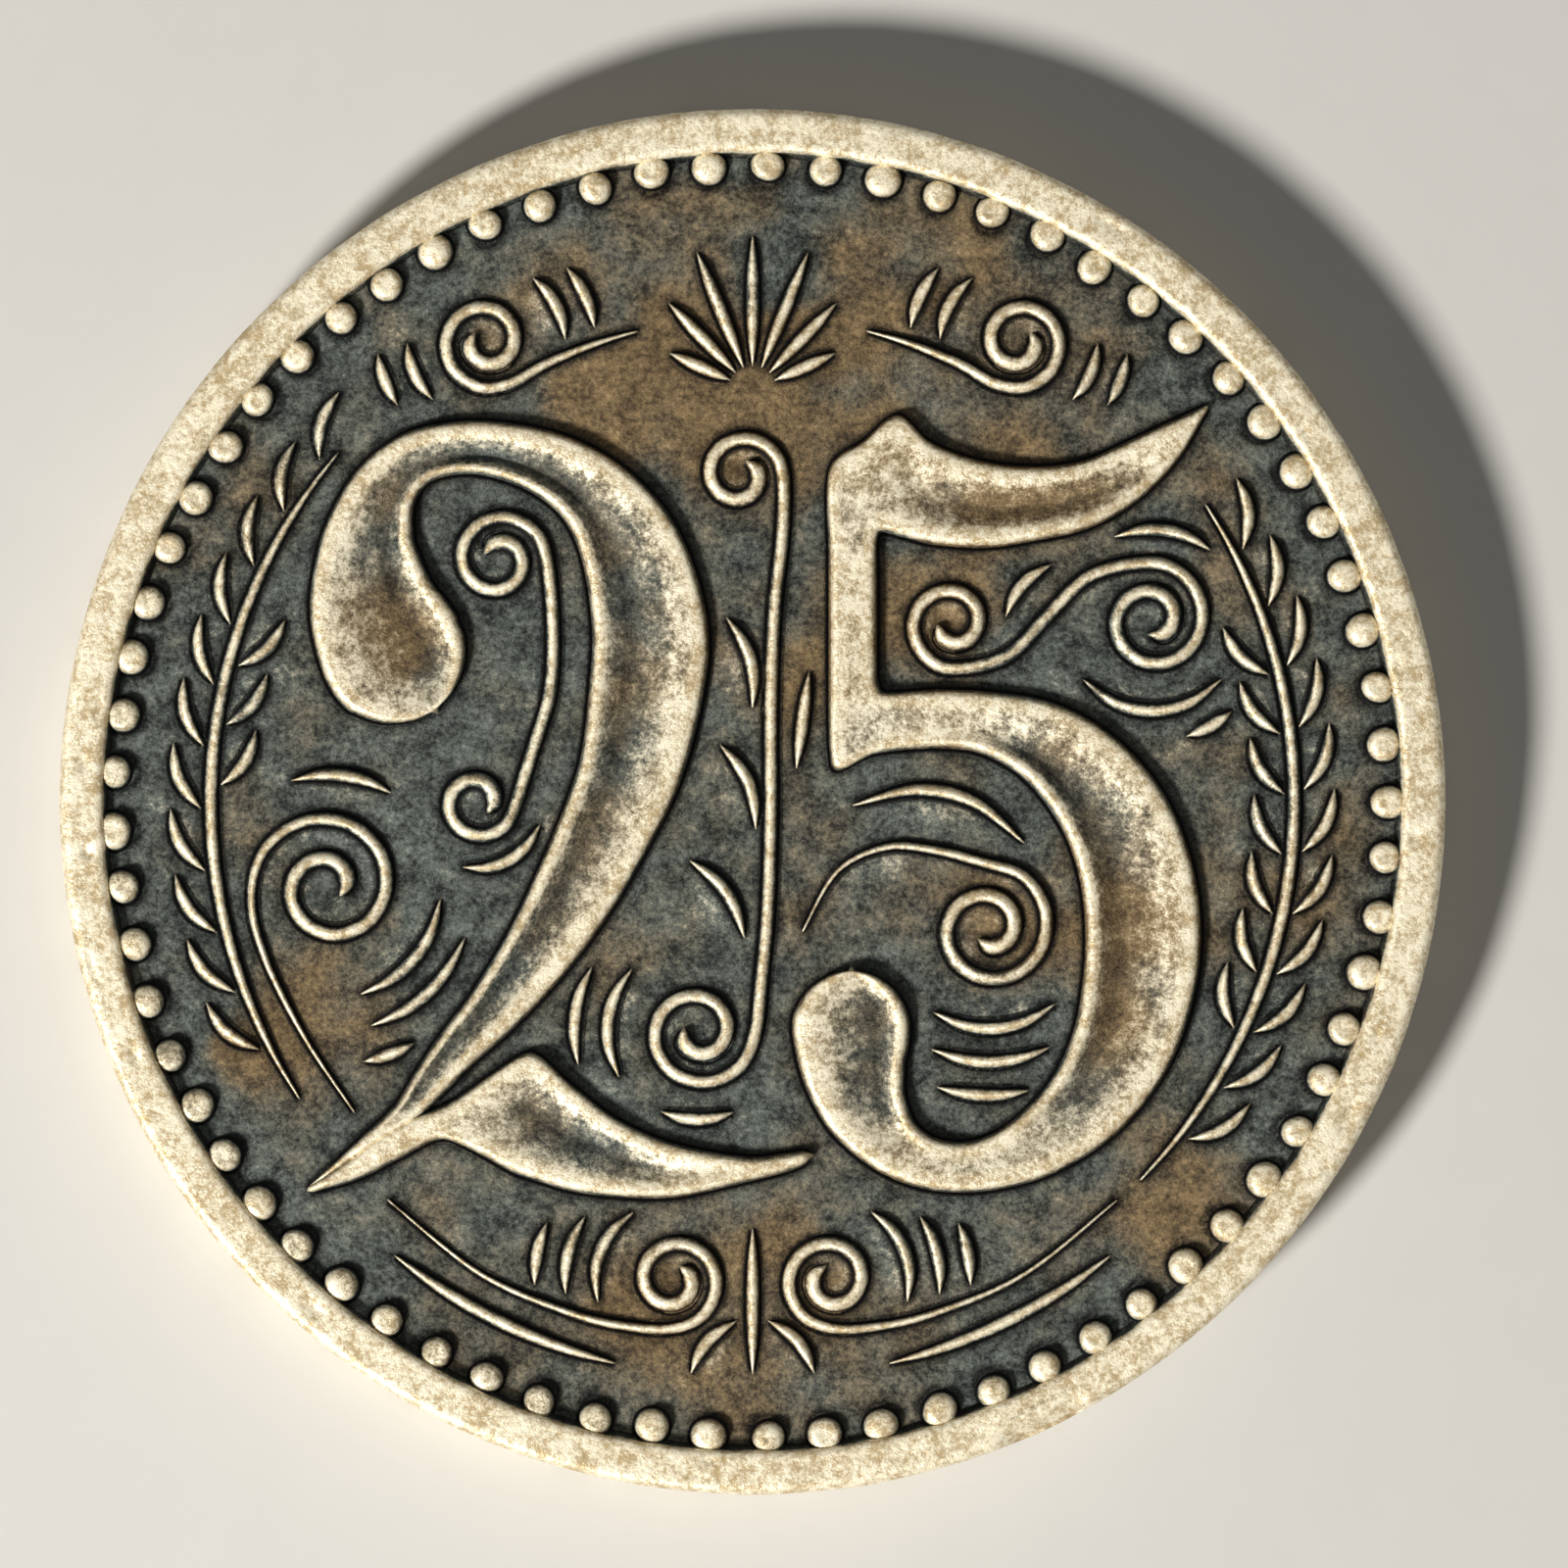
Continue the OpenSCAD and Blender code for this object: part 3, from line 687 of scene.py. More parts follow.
def add_strip(piece, side, left, right, shares, profile, brown=0, patchy=0.6):
    """One stroke of relief with a fillet along its foot and closed points at its ends.

    profile takes the distance from the left edge and the width, and gives height, wear, and dirt with
    painted shade.
    patchy is how far the wear comes and goes along the stroke.
    """
    ground = field(side)
    width = np.linalg.norm(right - left, axis=1)[:, None]
    apron = sizes("apron") * APRON_SHARES
    across = np.hstack([
        np.repeat(-apron[None], len(left), 0), shares[None] * width,
        width + np.repeat(apron[None, ::-1], len(left), 0)])
    flat = left[:, None] + (right - left)[:, None] / width[:, None] * across[..., None]
    x, y = flat[..., 0], flat[..., 1]
    height, wear, soot_and_shade = profile(np.clip(across, 0, width), width)
    wear = wear * (1 + patchy * np.minimum(rough(x, y, 1.3, 33), 0.3))
    fillet = np.zeros_like(across)
    fillet[:, :3], fillet[:, -3:] = APRON_HEIGHTS, APRON_HEIGHTS[::-1]
    outside = np.maximum(np.maximum(-across, across - width), 0)
    base = ground.at(ground.height, x, y)
    worn = sizes("chatter") * (rough(x, y, 0.16, 31) + rough(x, y, 0.45, 32))
    lift = np.clip(height / CLEAR_HEIGHT, 0, 1)
    z = FRONT_Z + base * (1 - 0.6 * lift) + height + fillet + worn * lift
    # Dirt and painted shade low on the walls and on the fillet beyond the foot
    wall_dirt_and_shade = np.clip(1 - height / UNDARKENED_HEIGHT, 0, 1)
    dirt_and_shade = np.where(outside > 0, dirt_and_shade_falloff(outside), np.maximum(wall_dirt_and_shade, soot_and_shade))
    warm = ground.at(ground.warm, x, y) + brown * lift
    rows, columns = across.shape
    tips = []
    for end, beyond in ((0, 1), (-1, -2)):
        middle = (left[end] + right[end]) / 2
        out = middle - (left[beyond] + right[beyond]) / 2
        tip = middle + out / np.linalg.norm(out) * TIP_REACH
        tips.append((*tip, FRONT_Z + ground.at(ground.height, *tip) - SUNK))
    points = np.vstack([np.dstack([flat, z]).reshape(-1, 3), tips])
    first, last, close = rows * columns, rows * columns + 1, (rows - 1) * columns
    faces = grid_faces(rows, columns)
    faces += [(first, (j + 1) % columns, j) for j in range(columns)]
    faces += [(last, close + j, close + (j + 1) % columns) for j in range(columns)]
    piece.add(points, faces, np.r_[wear.ravel(), 0, 0], np.r_[dirt_and_shade.ravel(), 0.4, 0.4],
              np.r_[warm.ravel(), 0, 0])


# Places across a numeral's stroke where its section is drawn, as shares of the width
NUMERAL_SHARES = np.array(
    [0, 0.012, 0.028, 0.048, 0.075, 0.11, 0.15, 0.195, 0.245, 0.3, 0.355, 0.41, 0.465])
NUMERAL_SHARES = np.r_[NUMERAL_SHARES, 0.52, 1 - NUMERAL_SHARES[::-1]]
# How far patina covers a dish's slope and its floor, how far a broad border, and the dirt and painted
# shade in the dish
SLOPE_DULL, FLOOR_DULL, BORDER_DULL, DISH_DIRT_AND_SHADE = 0.7, 0.25, 0.46, 0.42


def numeral_profile(dish, borders, place, fades):
    """Walls, rounded borders and the dish between them.

    borders are the left and right widths, place is the dish's deepest line as a share from the
    left, and fades are the shares of each slope over which the bare metal gives way to patina.
    """
    def profile(u, width):
        wall = np.minimum(sizes("draft"), width / 4)
        edge = np.minimum(u, width - u)
        rise = 1 - np.exp(-((edge / wall / 0.62) ** 1.6))
        thin = np.minimum(1, (width - 2 * wall) * 0.45 / sum(borders))
        start, stop = wall + borders[0] * thin, width - wall - borders[1] * thin
        share = dish[:, None] * np.minimum(1, (stop - start) / 2 / sizes("dish_run"))
        low = start + (stop - start) * place
        start, stop = start - 0.4 * borders[0] * thin, stop + 0.4 * borders[1] * thin
        into = np.where(u < low, (u - start) / (low - start), (stop - u) / (stop - low))
        fade = np.where(u < low, *fades)
        top = NUMERAL_H * np.clip(width / 0.24, 0, 1) ** 0.6
        height = (top - sizes("scoop") * share * smoothstep(into)) * rise
        dull = SLOPE_DULL * smoothstep(into / fade) + FLOOR_DULL * smoothstep((into - fade) / (1 - fade))
        inner = BORDER_DULL * smoothstep((edge - 0.16) / 0.22)
        stain = dish[:, None] * np.minimum(1, (stop - start) / 0.2)
        wear = smoothstep((rise - 0.5) / 0.42) * (1 - np.maximum(stain * dull, inner))
        # Dirt and painted shade towards the dish's deepest line
        soot_and_shade = DISH_DIRT_AND_SHADE * stain * smoothstep((into - 0.55) / 0.45)
        return height, wear, soot_and_shade
    return profile


# Borders of a numeral's strokes, the place of the dish, the fades of the wear and a brown tinge
SECTIONS = {
    "numeral_two_bow": (("outer_border", "inner_border"), 0.72, (0.44, 0.38), 0.22),
    "numeral_two_foot": (("flag_border", "flag_border"), 0.5, (0.4, 0.4), 0.2),
    "numeral_five_flag": (("flag_border", "flag_border"), 0.34, (0.4, 0.26), 0.3),
    "numeral_five_stem": (("flag_border", "flag_border"), 0.5, (0.4, 0.4), 0.4),
    "numeral_five_bowl": (("outer_border", "inner_border"), 0.78, (0.4, 0.38), 0.3),
}

LINE_SHARES = (1 - np.cos(np.linspace(0, np.pi, 11))) / 2
# Width from which a line has its full height
FULL_WIDTH = 0.13


def ridge(across):
    """Height of a rounded ridge, 0 to 1, at places from -1 to 1 across it."""
    return 1 - np.abs(across) ** 2.4


def line_profile(u, width):
    """A rounded ridge that narrows and sinks towards its points."""
    rise = ridge(2 * u / width - 1)
    return LINE_H * np.clip(width / FULL_WIDTH, 0.4, 1) * rise, smoothstep((rise - 0.5) / 0.45), 0


def lathe(piece, outline, count, wear, dirt_and_shade, shape=None, warm=0.1):
    """A ring turned from a closed outline of radius and height."""
    turn = np.linspace(0, 2 * np.pi, count, endpoint=False)[:, None]
    spread = (count, len(outline))
    r, z, wear, dirt_and_shade = (np.broadcast_to(v, spread) for v in (outline[:, 0], outline[:, 1], wear, dirt_and_shade))
    if shape:
        r, z = shape(turn, r, z)
    points = np.dstack([r * np.cos(turn), r * np.sin(turn), z]).reshape(-1, 3)
    piece.add(points, grid_faces(*spread, ring=True), wear, dirt_and_shade, warm)


# The edge is set in by this much, so that its unevenness stays within the token's radius
WOBBLE_ROOM = 0.009
# Wear of the plain edge, where 1 is bare metal
EDGE_WEAR = 0.63


def side_wobble(turn, z):
    """Small unevenness of the token's edge, the same on the rims and the blank."""
    return 0.006 * rough(turn * TOKEN_R, z, 0.9, 41) + 0.003 * rough(turn * TOKEN_R, z, 0.25, 42)


# Marks on the front rim: angle, radius, half length along and across, depth
RIM_MARKS = [
    (184.4, 10.1, 0.08, 0.07, 0.06), (172, 10.0, 0.2, 0.05, 0.02), (58, 10.28, 0.3, 0.1, 0.03),
    (12, 9.98, 0.12, 0.06, 0.025), (-28, 10.2, 0.25, 0.09, 0.03)]
# Ranges of a nick's half length along and across, and of its depth
NICK_RANGES = ((0.05, 0.22), (0.03, 0.09), (0.008, 0.03))
# The chip in the front rim's outer edge: angle, inner radius, half length, depth, run of its ends
CHIP_TURN, CHIP_R, CHIP_HALF, CHIP_DEPTH, CHIP_FADE = math.radians(-64.8), 10.2, 0.85, 0.15, 0.45
# The painted shade strip along the chip's inner side: how far in from the chip it lies, half width, and
# the wear it takes away so that dark patina shows
STRIP_IN, STRIP_HALF, STRIP_SHADE = 0.08, 0.1, 0.42
# The rim's inner wall: steps out from its radius with steps down from its top, then up from the field
RIM_SHOULDER = ((0.085, 0.008), (0.05, 0.026), (0.025, 0.06), (0.008, 0.13))
RIM_FOOT = ((-0.005, 0.09), (-0.03, 0.03), (-0.075, 0.003), (-0.12, -SUNK), (0.2, -0.05))


def turn_off(turn, place):
    """Angle from a place on the rim, the short way round."""
    return (turn - place + np.pi) % (2 * np.pi) - np.pi


def chip_ends(turn):
    """How far the chip is cut in at an angle round the rim."""
    return smoothstep((CHIP_HALF - np.abs(turn_off(turn, CHIP_TURN)) * CHIP_R) / CHIP_FADE)


def rim_outline():
    """The rim's section, from its outer wall over the top to its inner foot."""
    radius, inner = sizes("rim_round"), RIM_INNER_R
    turns = np.radians([0, 14, 28, 42, 56, 70, 82])
    return np.array(
        [(TOKEN_R, FRONT_Z)]
        + [(TOKEN_R - radius + radius * np.cos(t), RIM_TOP - radius + radius * np.sin(t)) for t in turns]
        + [(r, RIM_TOP) for r in np.linspace(TOKEN_R - radius - 0.03, inner + 0.13, 9)]
        + [(inner + out, RIM_TOP - down) for out, down in RIM_SHOULDER]
        + [(inner + out, FRONT_Z + up) for out, up in RIM_FOOT])


def build_rim(side, material):
    """One worn rim; the front's also has the marks and the chip."""
    count = 1080
    inner = RIM_INNER_R
    outline = rim_outline()
    high = (outline[:, 1] - FRONT_Z) / (RIM_TOP - FRONT_Z)
    inside = outline[:, 0] < inner + 0.06
    outer_wear = EDGE_WEAR + (1 - EDGE_WEAR) * smoothstep(high * 1.3 - 0.2)
    wear = np.where(inside, smoothstep((high - 0.4) / 0.5), outer_wear)
    # Dirt and painted shade low on the rim's inner wall
    dirt_and_shade = np.where(inside, 0.7 * np.clip(1 - high * 1.5, 0, 1), 0)
    random = np.random.default_rng(51 if side == "front" else 52)
    marks = [
        (random.uniform(0, 360), random.uniform(inner + 0.1, TOKEN_R - 0.02),
         *(random.uniform(*ends) for ends in NICK_RANGES))
        for _ in range(bpy.context.scene.token_sizes.nicks)
    ]
    if side == "front":
        marks += RIM_MARKS
        turn = np.linspace(0, 2 * np.pi, count, endpoint=False)[:, None]
        # Painted shade: a darker strip on the rim's top just inside the chip
        shade_strip = np.exp(-(((outline[:, 0] - CHIP_R + STRIP_IN) / STRIP_HALF) ** 2)) * (high > 0.8)
        wear = wear - STRIP_SHADE * chip_ends(turn) * shade_strip

    def shape(turn, r, z):
        x, y = r * np.cos(turn), r * np.sin(turn)
        top = smoothstep((z - FRONT_Z - 0.1) / 0.15)
        z = z - top * (0.008 + 0.007 * rough(x, y, 1.1, 53) + 0.004 * rough(x, y, 0.28, 54))
        for angle, place, along, wide, depth in marks:
            off = turn_off(turn, math.radians(angle))
            z = z - depth * top * np.exp(-((off * place / along) ** 4) - ((r - place) / wide) ** 2)
        if side == "front":
            z = z - CHIP_DEPTH * top * chip_ends(turn) * np.clip((r - CHIP_R) / (TOKEN_R - CHIP_R), 0, 1)
        out = smoothstep((r - TOKEN_R + 0.1) / 0.1)
        scallop = 0.012 * rough(turn * inner + 7, z * 0, 0.3, 55) * (r < inner + 0.12)
        return r + out * (side_wobble(turn, z) - WOBBLE_ROOM) + scallop, z

    piece = Piece(side + "_rim_worn")
    lathe(piece, outline, count, wear, dirt_and_shade, shape)
    return piece.make(material, side + "_rim", side)


# A bead's dome, as shares of its radius and height, from its fillet to its top
DOME = np.array([(1.32, -0.2), (1.15, 0.01), (1.04, 0.07), (0.985, 0.22), (0.94, 0.44), (0.86, 0.66),
                 (0.73, 0.82), (0.55, 0.92), (0.36, 0.97), (0.18, 0.99)])


def build_beads(side, material):
    """One ring of beads, each a little off in place, size, roundness, height and wear; beads on the right
    and top are painted brighter, as if lit.
    """
    piece = Piece(side + "_beads_worn")
    ground = field(side)
    random = np.random.default_rng(61 if side == "front" else 62)
    count = 28
    turn = np.linspace(0, 2 * np.pi, count, endpoint=False)
    for centre in bead_centres(side):
        out = centre / np.linalg.norm(centre)
        spot = centre + out * random.uniform(0.05, 0.1) + random.normal(0, 0.016, 2)
        size = BEAD_R * random.uniform(0.98, 1.12)
        flat = random.uniform(0.02, 0.2)
        oval, lean = random.uniform(-0.06, 0.06), random.uniform(0, np.pi)
        ring = size * (1 + oval * np.cos(2 * (turn - lean)))
        x = spot[0] + DOME[:, :1] * ring * np.cos(turn)
        y = spot[1] + DOME[:, :1] * ring * np.sin(turn)
        rise = np.minimum(DOME[:, 1], 1 - flat * (1 - DOME[:, 0] * 0.5))[:, None]
        worn = 0.006 * rough(x, y, 0.14, 63) * (rise > 0.3)
        z = FRONT_Z + ground.at(ground.height, x, y) + BEAD_R * rise * 0.98 + worn
        rows = len(DOME)
        points = np.vstack([np.dstack([x, y, z]).reshape(-1, 3),
                            (*spot, z[-1].mean() + 0.002), (*spot, z[0].min())])
        faces = grid_faces(rows, count)
        faces += [((rows - 1) * count + j, (rows - 1) * count + (j + 1) % count, rows * count)
                  for j in range(count)]
        faces += [((j + 1) % count, j, rows * count + 1) for j in range(count)]
        # Painted light: beads towards the right and the top get more bare brass, as the lit side of the
        # ring looks; the random part is wear
        lit_side_and_wear = 0.82 + 0.16 * out[0] + 0.1 * out[1] + random.uniform(-0.12, 0.12)
        wear = np.broadcast_to(smoothstep((rise - 0.22) / 0.5) * lit_side_and_wear, x.shape)
        # Dirt and painted shade round each bead's foot
        dirt_and_shade = np.clip(1 - rise * 2.4, 0, 1) * np.clip((1.5 - DOME[:, :1]) / 0.4, 0, 1)
        dirt_and_shade = np.broadcast_to(dirt_and_shade, x.shape)
        piece.add(points, faces, np.r_[wear.ravel(), lit_side_and_wear, 0], np.r_[dirt_and_shade.ravel(), 0, 0],
                  np.r_[ground.at(ground.warm, x, y).ravel(), 0, 0])
    return piece.make(material, side + "_beads", side)


def disc(count):
    """An even net of quads over a unit disc, and the corners round its edge in order."""
    axis = np.linspace(-1, 1, count + 1)
    a, b = (v.ravel() for v in np.meshgrid(axis, axis, indexing="ij"))
    wide = np.abs(a) > np.abs(b)
    safe_a, safe_b = np.where(a == 0, 1, a), np.where(b == 0, 1, b)
    r = np.where(wide, a, b)
    turn = np.where(wide, np.pi / 4 * b / safe_a, np.pi / 2 - np.pi / 4 * a / safe_b)
    index = np.arange((count + 1) ** 2).reshape(count + 1, count + 1)
    rim = np.r_[index[-1, :-1], index[::-1, -1][:-1], index[0, ::-1][:-1], index[:-1, 0]]
    return r[:, None] * outward(turn), grid_faces(count + 1, count + 1, closed=False), rim


def ring_at(turn, radius, z):
    """A row of points round the token."""
    return np.column_stack([radius * np.cos(turn), radius * np.sin(turn), np.broadcast_to(z, turn.shape)])


# The back field's plate: how far its edge lies in from the token's, and its thickness
LET_IN, PLATE = 0.42, 0.2
# Wear on the field's high places: the height at which it is full, and how far it goes
HIGH_PLACE, HIGH_WEAR = 0.06, 0.34


def build_field(side, material):
    """One field; the front's carries the token's edge, the back's is let in between the walls."""
    front = side == "front"
    ground = field(side)
    flat, faces, rim = disc(280)
    let_in = TOKEN_R - LET_IN
    x, y = (flat * (TOKEN_R if front else let_in)).T
    height = np.where(np.hypot(x, y) > RIM_INNER_R + 0.15, 0, ground.at(ground.height, x, y))
    wear = np.clip(height / HIGH_PLACE, 0, 1) * HIGH_WEAR
    points = np.column_stack([x, y, FRONT_Z + height])
    turn = np.arctan2(y[rim], x[rim])
    if front:
        wear[rim] = EDGE_WEAR
        rings = [ring_at(turn, TOKEN_R - WOBBLE_ROOM + side_wobble(turn, z), z)
                 for z in np.linspace(FRONT_Z, BACK_Z, 9)]
        points[rim] = rings.pop(0)
        rings += [ring_at(turn, let_in, BACK_Z), ring_at(turn, let_in, BACK_Z + PLATE)]
    else:
        rings = [ring_at(turn, let_in, FRONT_Z - PLATE)]
    start, around = len(points), len(rim)
    rows = [rim] + [start + i * around + np.arange(around) for i in range(len(rings))]
    for upper, lower in zip(rows, rows[1:]):
        faces += [
            (upper[j], upper[(j + 1) % around], lower[(j + 1) % around], lower[j]) for j in range(around)]
    faces.append(tuple(rows[-1]))
    extra = len(rings) * around
    piece = Piece("blank_struck" if front else "blank_back_field")
    piece.add(
        np.vstack([points, *rings]), faces, np.r_[wear, np.full(extra, EDGE_WEAR)],
        np.r_[ground.at(ground.crevice_dirt_and_shade, x, y), np.zeros(extra)],
        np.r_[ground.at(ground.warm, x, y), np.full(extra, 0.3)])
    return piece.make(material, "blank" if front else None, side)


# Materials


class Shader:
    """A material's nodes, added one at a time."""

    def __init__(self, name):
        self.material = bpy.data.materials.new(name)
        self.material.use_nodes = True
        self.tree = self.material.node_tree
        self.tree.nodes.clear()

    def add(self, kind, inputs=(), **settings):
        node = self.tree.nodes.new(kind)
        for key, value in settings.items():
            setattr(node, key, value)
        for key, value in dict(inputs).items():
            if isinstance(value, bpy.types.NodeSocket):
                self.tree.links.new(value, node.inputs[key])
            else:
                node.inputs[key].default_value = value
        return node

    def value(self, name):
        """A value that the mesh carries at each point."""
        return self.add("ShaderNodeAttribute", attribute_name=name).outputs["Fac"]

    def noise(self, place, scale, detail, roughness):
        return self.add("ShaderNodeTexNoise", {
            "Vector": place, "Scale": scale, "Detail": detail, "Roughness": roughness}).outputs["Fac"]

    def math(self, operation, a, b):
        return self.add("ShaderNodeMath", {0: a, 1: b}, operation=operation).outputs[0]

    def span(self, value, low, high, to_low=0.0, to_high=1.0):
        """A value taken from one span to another, with eased ends."""
        return self.add("ShaderNodeMapRange", {
            "Value": value, "From Min": low, "From Max": high, "To Min": to_low, "To Max": to_high,
        }, interpolation_type="SMOOTHSTEP").outputs["Result"]

    def blend(self, share, a, b):
        """Mix of two colours; a mix node keeps its colour sockets after its plain ones."""
        node = self.add("ShaderNodeMix", {0: share, 6: a, 7: b}, data_type="RGBA")
        return node.outputs[2]


def token_metal(name, polish):
    """Worn brass over dark patina; polish moves the wear up or down."""
    s = Shader(name)
    place = s.add("ShaderNodeMapping", {
        "Vector": s.add("ShaderNodeTexCoord").outputs["Object"], "Scale": (1 / MM,) * 3}).outputs["Vector"]
    wear, dirt_and_shade, warm = s.value("wear"), s.value("crevice_dirt_and_shade"), s.value("warm")
    patch = s.noise(place, 0.7, 3, 0.55)
    mottle = s.noise(place, 3.2, 4, 0.65)
    fleck = s.noise(place, 12, 3, 0.62)
    grain = s.noise(place, 34, 2, 0.6)
    speckle = s.math("ADD", s.math("MULTIPLY", mottle, 0.42), s.math("MULTIPLY", fleck, 0.35))
    speckle = s.math("ADD", speckle, s.math("MULTIPLY", grain, 0.23))

    # Patina: slate, turning brown and gold where it is warm, and paler where it is rubbed
    rubbed = s.math("ADD", s.math("MULTIPLY", wear, 0.2), speckle)
    slate = s.blend(s.span(rubbed, 0.37, 0.73), tints("slate"), tints("slate_pale"))
    earth = s.blend(s.span(rubbed, 0.36, 0.72), tints("brown"), tints("gold"))
    brownness = s.math("ADD", s.math("MULTIPLY", warm, 0.5), s.math("MULTIPLY", patch, 0.7))
    brownness = s.math("ADD", brownness, s.math("MULTIPLY", speckle, 0.6))
    patina = s.blend(s.span(brownness, 0.6, 1.1), slate, earth)
    # Bare brass where the wear breaks through, then the dirt and painted shade of the crevices over both
    brass = s.blend(s.span(speckle, 0.4, 0.58), tints("brass_dull"), tints("brass_bright"))
    broken = s.math("ADD", s.math("ADD", wear, polish), s.math("MULTIPLY", speckle, 2))
    bare = s.span(broken, 1.2, 1.85)
    tone = s.blend(bare, patina, brass)
    # Dirt and painted shade, turned towards the near-black colour
    soot_and_shade = s.math("MULTIPLY", dirt_and_shade, s.span(grain, 0.2, 0.75, 1.0, 0.75))
    tone = s.blend(s.span(soot_and_shade, 0.06, 0.72), tone, tints("crevice_dirt_and_shade"))

    roughness = s.math("ADD", s.span(bare, 0, 1, 0.52, 0.38), s.math("MULTIPLY", fleck, 0.15))
    relief = s.math("ADD", s.math("MULTIPLY", fleck, 0.6), s.math("MULTIPLY", grain, 0.4))
    bump = s.add("ShaderNodeBump", {"Strength": 0.7, "Distance": 0.03 * MM, "Height": relief})
    metal = s.add("ShaderNodeBsdfPrincipled", {
        "Base Color": tone, "Roughness": roughness, "Metallic": s.span(bare, 0, 1, 0.05, 0.42),
        "Specular IOR Level": 0.1, "Normal": bump.outputs["Normal"]})
    out = s.add("ShaderNodeOutputMaterial")
    s.tree.links.new(metal.outputs["BSDF"], out.inputs["Surface"])
    return s.material


# How far each finish is polished beyond the wear of its mesh
POLISH = {
    "field_patina": 0.0,
    "rim_brass": 0.1,
    "bead_brass": 0.12,
    "numeral_brass": 0.04,
    "line_brass": 0.12,
}


@lru_cache(maxsize=None)
def finish_of(slot):
    """A slot's finish, made once for all its pieces."""
    return token_metal("token_" + slot, POLISH[slot])


# Operators


FLOOR_HALF = 0.3
# Lamps: name, place, size, watts and tint
LAMPS = (
    ("key", (-0.14, -0.14, 0.16), 0.04, 0.9, (1, 0.98, 0.95)),
    ("fill", (0.12, 0.1, 0.24), 0.16, 0.04, (0.95, 0.98, 1)),
)
# The room's tint, its strength as light, and its strength where it is seen
ROOM_TINT, ROOM_LIGHT, ROOM_SEEN = (1, 0.99, 0.97, 1), 0.1, 0.6
# The camera's place, its height over the rim and the width of what it sees
CAMERA_X, CAMERA_Y, CAMERA_RISE, VIEW_WIDTH = 0.475 * MM, 0.267 * MM, 0.25, 23.73 * MM


class TOKEN_OT_stage(bpy.types.Operator):
    """Set up the floor, the soft light and the camera above the token"""

    bl_idname = "token.stage"
    bl_label = "Stage"

    def execute(self, context):
        scene = context.scene
        scene.view_settings.view_transform = "Standard"
        mesh = bpy.data.meshes.new("floor")
        corners = [(x * FLOOR_HALF, y * FLOOR_HALF, 0) for x, y in ((-1, -1), (1, -1), (1, 1), (-1, 1))]
        mesh.from_pydata(corners, [], [(0, 1, 2, 3)])
        floor = bpy.data.objects.new("floor", mesh)
        scene.collection.objects.link(floor)
        shade = Shader("floor_card")
        place = shade.add("ShaderNodeTexCoord").outputs["Object"]
        shaded = [c * 0.96 for c in tints("floor")]
        pale = shade.blend(shade.noise(place, 900, 3, 0.6), tints("floor"), shaded)
        card = shade.add("ShaderNodeBsdfPrincipled", {"Base Color": pale, "Roughness": 0.9})
        out = shade.add("ShaderNodeOutputMaterial")
        shade.tree.links.new(card.outputs["BSDF"], out.inputs["Surface"])
        mesh.materials.append(shade.material)

        scene.world = self.room()
        for lamp in LAMPS:
            self.lamp(scene, *lamp)

        camera = bpy.data.objects.new("camera", bpy.data.cameras.new("camera"))
        camera.location = (CAMERA_X, CAMERA_Y, RIM_TOP * MM + CAMERA_RISE)
        camera.data.lens = camera.data.sensor_width * CAMERA_RISE / VIEW_WIDTH
        camera.data.clip_start = 0.01
        camera.data.dof.use_dof = False
        scene.collection.objects.link(camera)
        scene.camera = camera
        return {"FINISHED"}

    def room(self):
        """A dim room that shows pale to the camera and in the bare metal."""
        world = bpy.data.worlds.new("soft_room")
        world.use_nodes = True
        tree = world.node_tree
        light = tree.nodes["Background"]
        light.inputs["Color"].default_value = ROOM_TINT
        ray = tree.nodes.new("ShaderNodeLightPath")
        seen = ray.outputs["Is Camera Ray"]
        for kind in ("Is Glossy Ray", "Is Transmission Ray"):
            either = tree.nodes.new("ShaderNodeMath")
            either.operation = "MAXIMUM"
            tree.links.new(seen, either.inputs[0])
            tree.links.new(ray.outputs[kind], either.inputs[1])
            seen = either.outputs[0]
        strength = tree.nodes.new("ShaderNodeMapRange")
        strength.inputs["To Min"].default_value = ROOM_LIGHT
        strength.inputs["To Max"].default_value = ROOM_SEEN
        tree.links.new(seen, strength.inputs["Value"])
        tree.links.new(strength.outputs["Result"], light.inputs["Strength"])
        return world

    def lamp(self, scene, name, place, size, watts, tint):
        """A round lamp that faces the token."""
        light = bpy.data.lights.new(name, "AREA")
        light.shape, light.size, light.energy, light.color = "DISK", size, watts, tint
        obj = bpy.data.objects.new(name, light)
        obj.location = place
        obj.rotation_euler = (-Vector(place)).to_track_quat("-Z", "Y").to_euler()
        scene.collection.objects.link(obj)


class TOKEN_OT_blank(bpy.types.Operator):
    """Build the blank: its two uneven fields and its edge"""

    bl_idname = "token.blank"
    bl_label = "Blank"

    def execute(self, context):
        for side in ("front", "back"):
            build_field(side, finish_of("field_patina"))
        return {"FINISHED"}


class TOKEN_OT_rims(bpy.types.Operator):
    """Turn the two worn rims, with their nicks"""

    bl_idname = "token.rims"
    bl_label = "Rims"

    def execute(self, context):
        for side in ("front", "back"):
            build_rim(side, finish_of("rim_brass"))
        return {"FINISHED"}


class TOKEN_OT_beads(bpy.types.Operator):
    """Raise the two rings of beads"""

    bl_idname = "token.beads"
    bl_label = "Beads"

    def execute(self, context):
        for side in ("front", "back"):
            build_beads(side, finish_of("bead_brass"))
        return {"FINISHED"}


# How far the wear comes and goes along a numeral
NUMERAL_PATCHY = 0.15


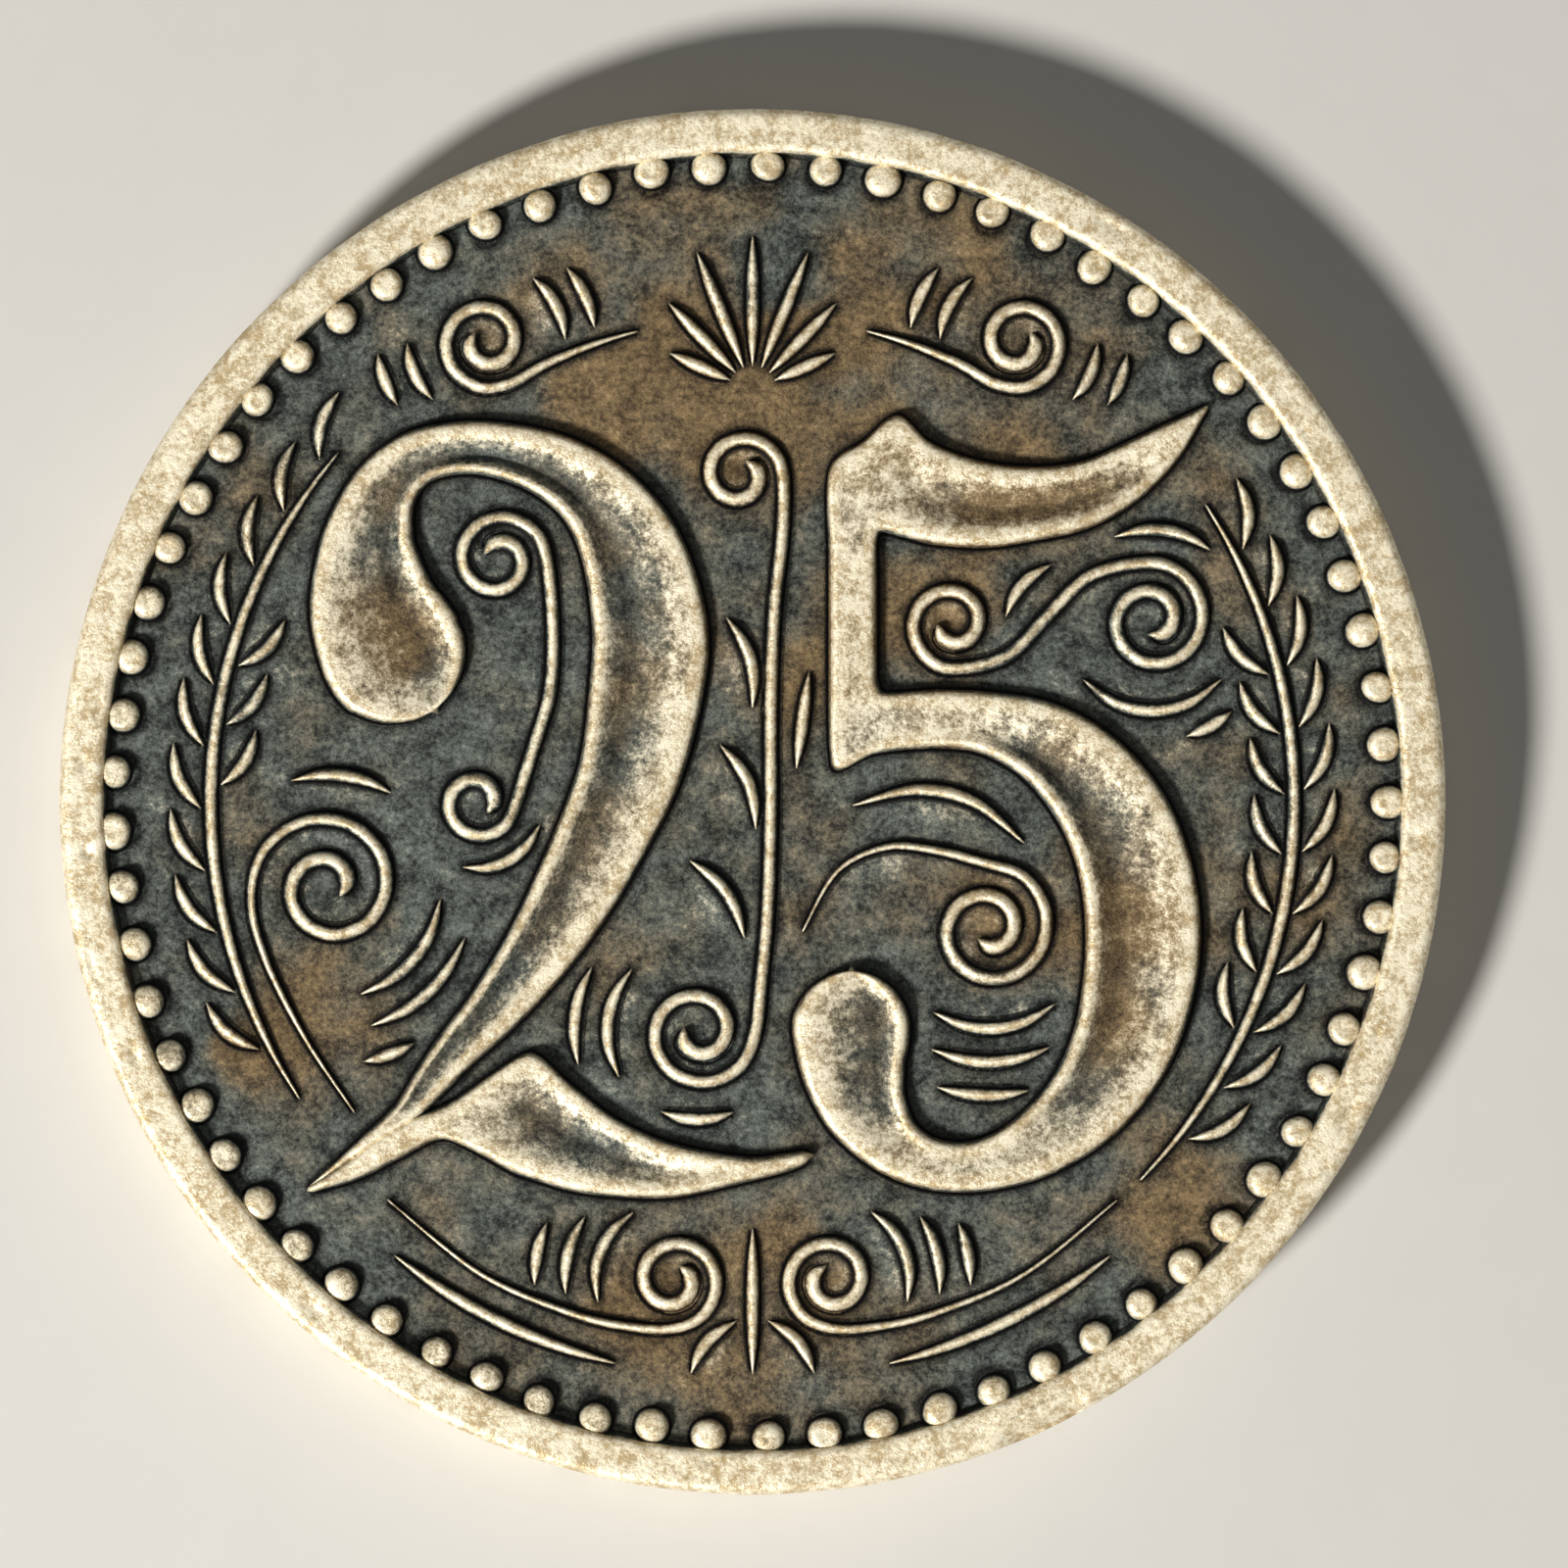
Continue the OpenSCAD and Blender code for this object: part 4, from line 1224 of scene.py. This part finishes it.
class TOKEN_OT_numerals(bpy.types.Operator):
    """Strike the numerals, with their borders and dishes"""

    bl_idname = "token.numerals"
    bl_label = "Numerals"

    def execute(self, context):
        for node, (left, right, dish) in numeral_strokes().items():
            borders, place, fades, brown = SECTIONS[node]
            piece = Piece(node + "_struck")
            profile = numeral_profile(dish, [sizes(b) for b in borders], place, fades)
            add_strip(piece, "front", left, right, NUMERAL_SHARES, profile, brown, NUMERAL_PATCHY)
            piece.make(finish_of("numeral_brass"), node)
        return {"FINISHED"}


def strike_lines(side):
    """Every line of one side, one piece for each node."""
    for node, strokes in line_strokes(side).items():
        piece = Piece(node + "_struck")
        for left, right in strokes:
            add_strip(piece, side, left, right, LINE_SHARES, line_profile)
        piece.make(finish_of("line_brass"), node, side)


class TOKEN_OT_lines(bpy.types.Operator):
    """Strike the scrolls, sprays, fan and drops of the front"""

    bl_idname = "token.lines"
    bl_label = "Front lines"

    def execute(self, context):
        strike_lines("front")
        return {"FINISHED"}


class TOKEN_OT_back(bpy.types.Operator):
    """Strike the wreath and the ring of the back"""

    bl_idname = "token.back"
    bl_label = "Back lines"

    def execute(self, context):
        strike_lines("back")
        inner, outer = reach("back_ring")
        apron, foot = 0.08, FRONT_Z - SUNK
        across = np.linspace(-1, 1, 13)
        rise = ridge(across)
        radii = (inner + outer) / 2 + across * (outer - inner) / 2
        outline = np.column_stack([radii, FRONT_Z + LINE_H * rise])
        outline = np.vstack([[inner - apron, foot], outline, [outer + apron, foot]])
        high = np.r_[0, rise, 0]
        # Dirt and painted shade at the ring's foot
        wear, dirt_and_shade = smoothstep((high - 0.3) / 0.55), 1 - np.clip(high * 1.8, 0, 1)
        piece = Piece("back_ring_struck")
        lathe(piece, outline, 600, wear, dirt_and_shade)
        piece.make(finish_of("line_brass"), "back_ring", "back")
        return {"FINISHED"}


OPERATORS = (TOKEN_OT_stage, TOKEN_OT_blank, TOKEN_OT_rims, TOKEN_OT_beads, TOKEN_OT_numerals,
             TOKEN_OT_lines, TOKEN_OT_back)


class TOKEN_PT_build(bpy.types.Panel):
    """The token's pieces and the values that shape them"""

    bl_label = "Struck token"
    bl_idname = "TOKEN_PT_build"
    bl_space_type = "VIEW_3D"
    bl_region_type = "UI"
    bl_category = "Token"

    def draw(self, context):
        for operator in OPERATORS:
            self.layout.operator(operator.bl_idname)
        for group in (context.scene.token_sizes, context.scene.token_colours):
            box = self.layout.box()
            for name in group.bl_rna.properties.keys():
                if name not in ("rna_type", "name"):
                    box.prop(group, name)


CLASSES = (TokenSizes, TokenColours, *OPERATORS, TOKEN_PT_build)


def register():
    for item in CLASSES:
        bpy.utils.register_class(item)
    bpy.types.Scene.token_sizes = PointerProperty(type=TokenSizes)
    bpy.types.Scene.token_colours = PointerProperty(type=TokenColours)


def unregister():
    del bpy.types.Scene.token_sizes
    del bpy.types.Scene.token_colours
    for item in reversed(CLASSES):
        bpy.utils.unregister_class(item)


def main():
    register()
    bpy.ops.token.stage()
    bpy.ops.token.blank()
    bpy.ops.token.rims()
    bpy.ops.token.beads()
    bpy.ops.token.numerals()
    bpy.ops.token.lines()
    bpy.ops.token.back()


if __name__ == "__main__":
    main()
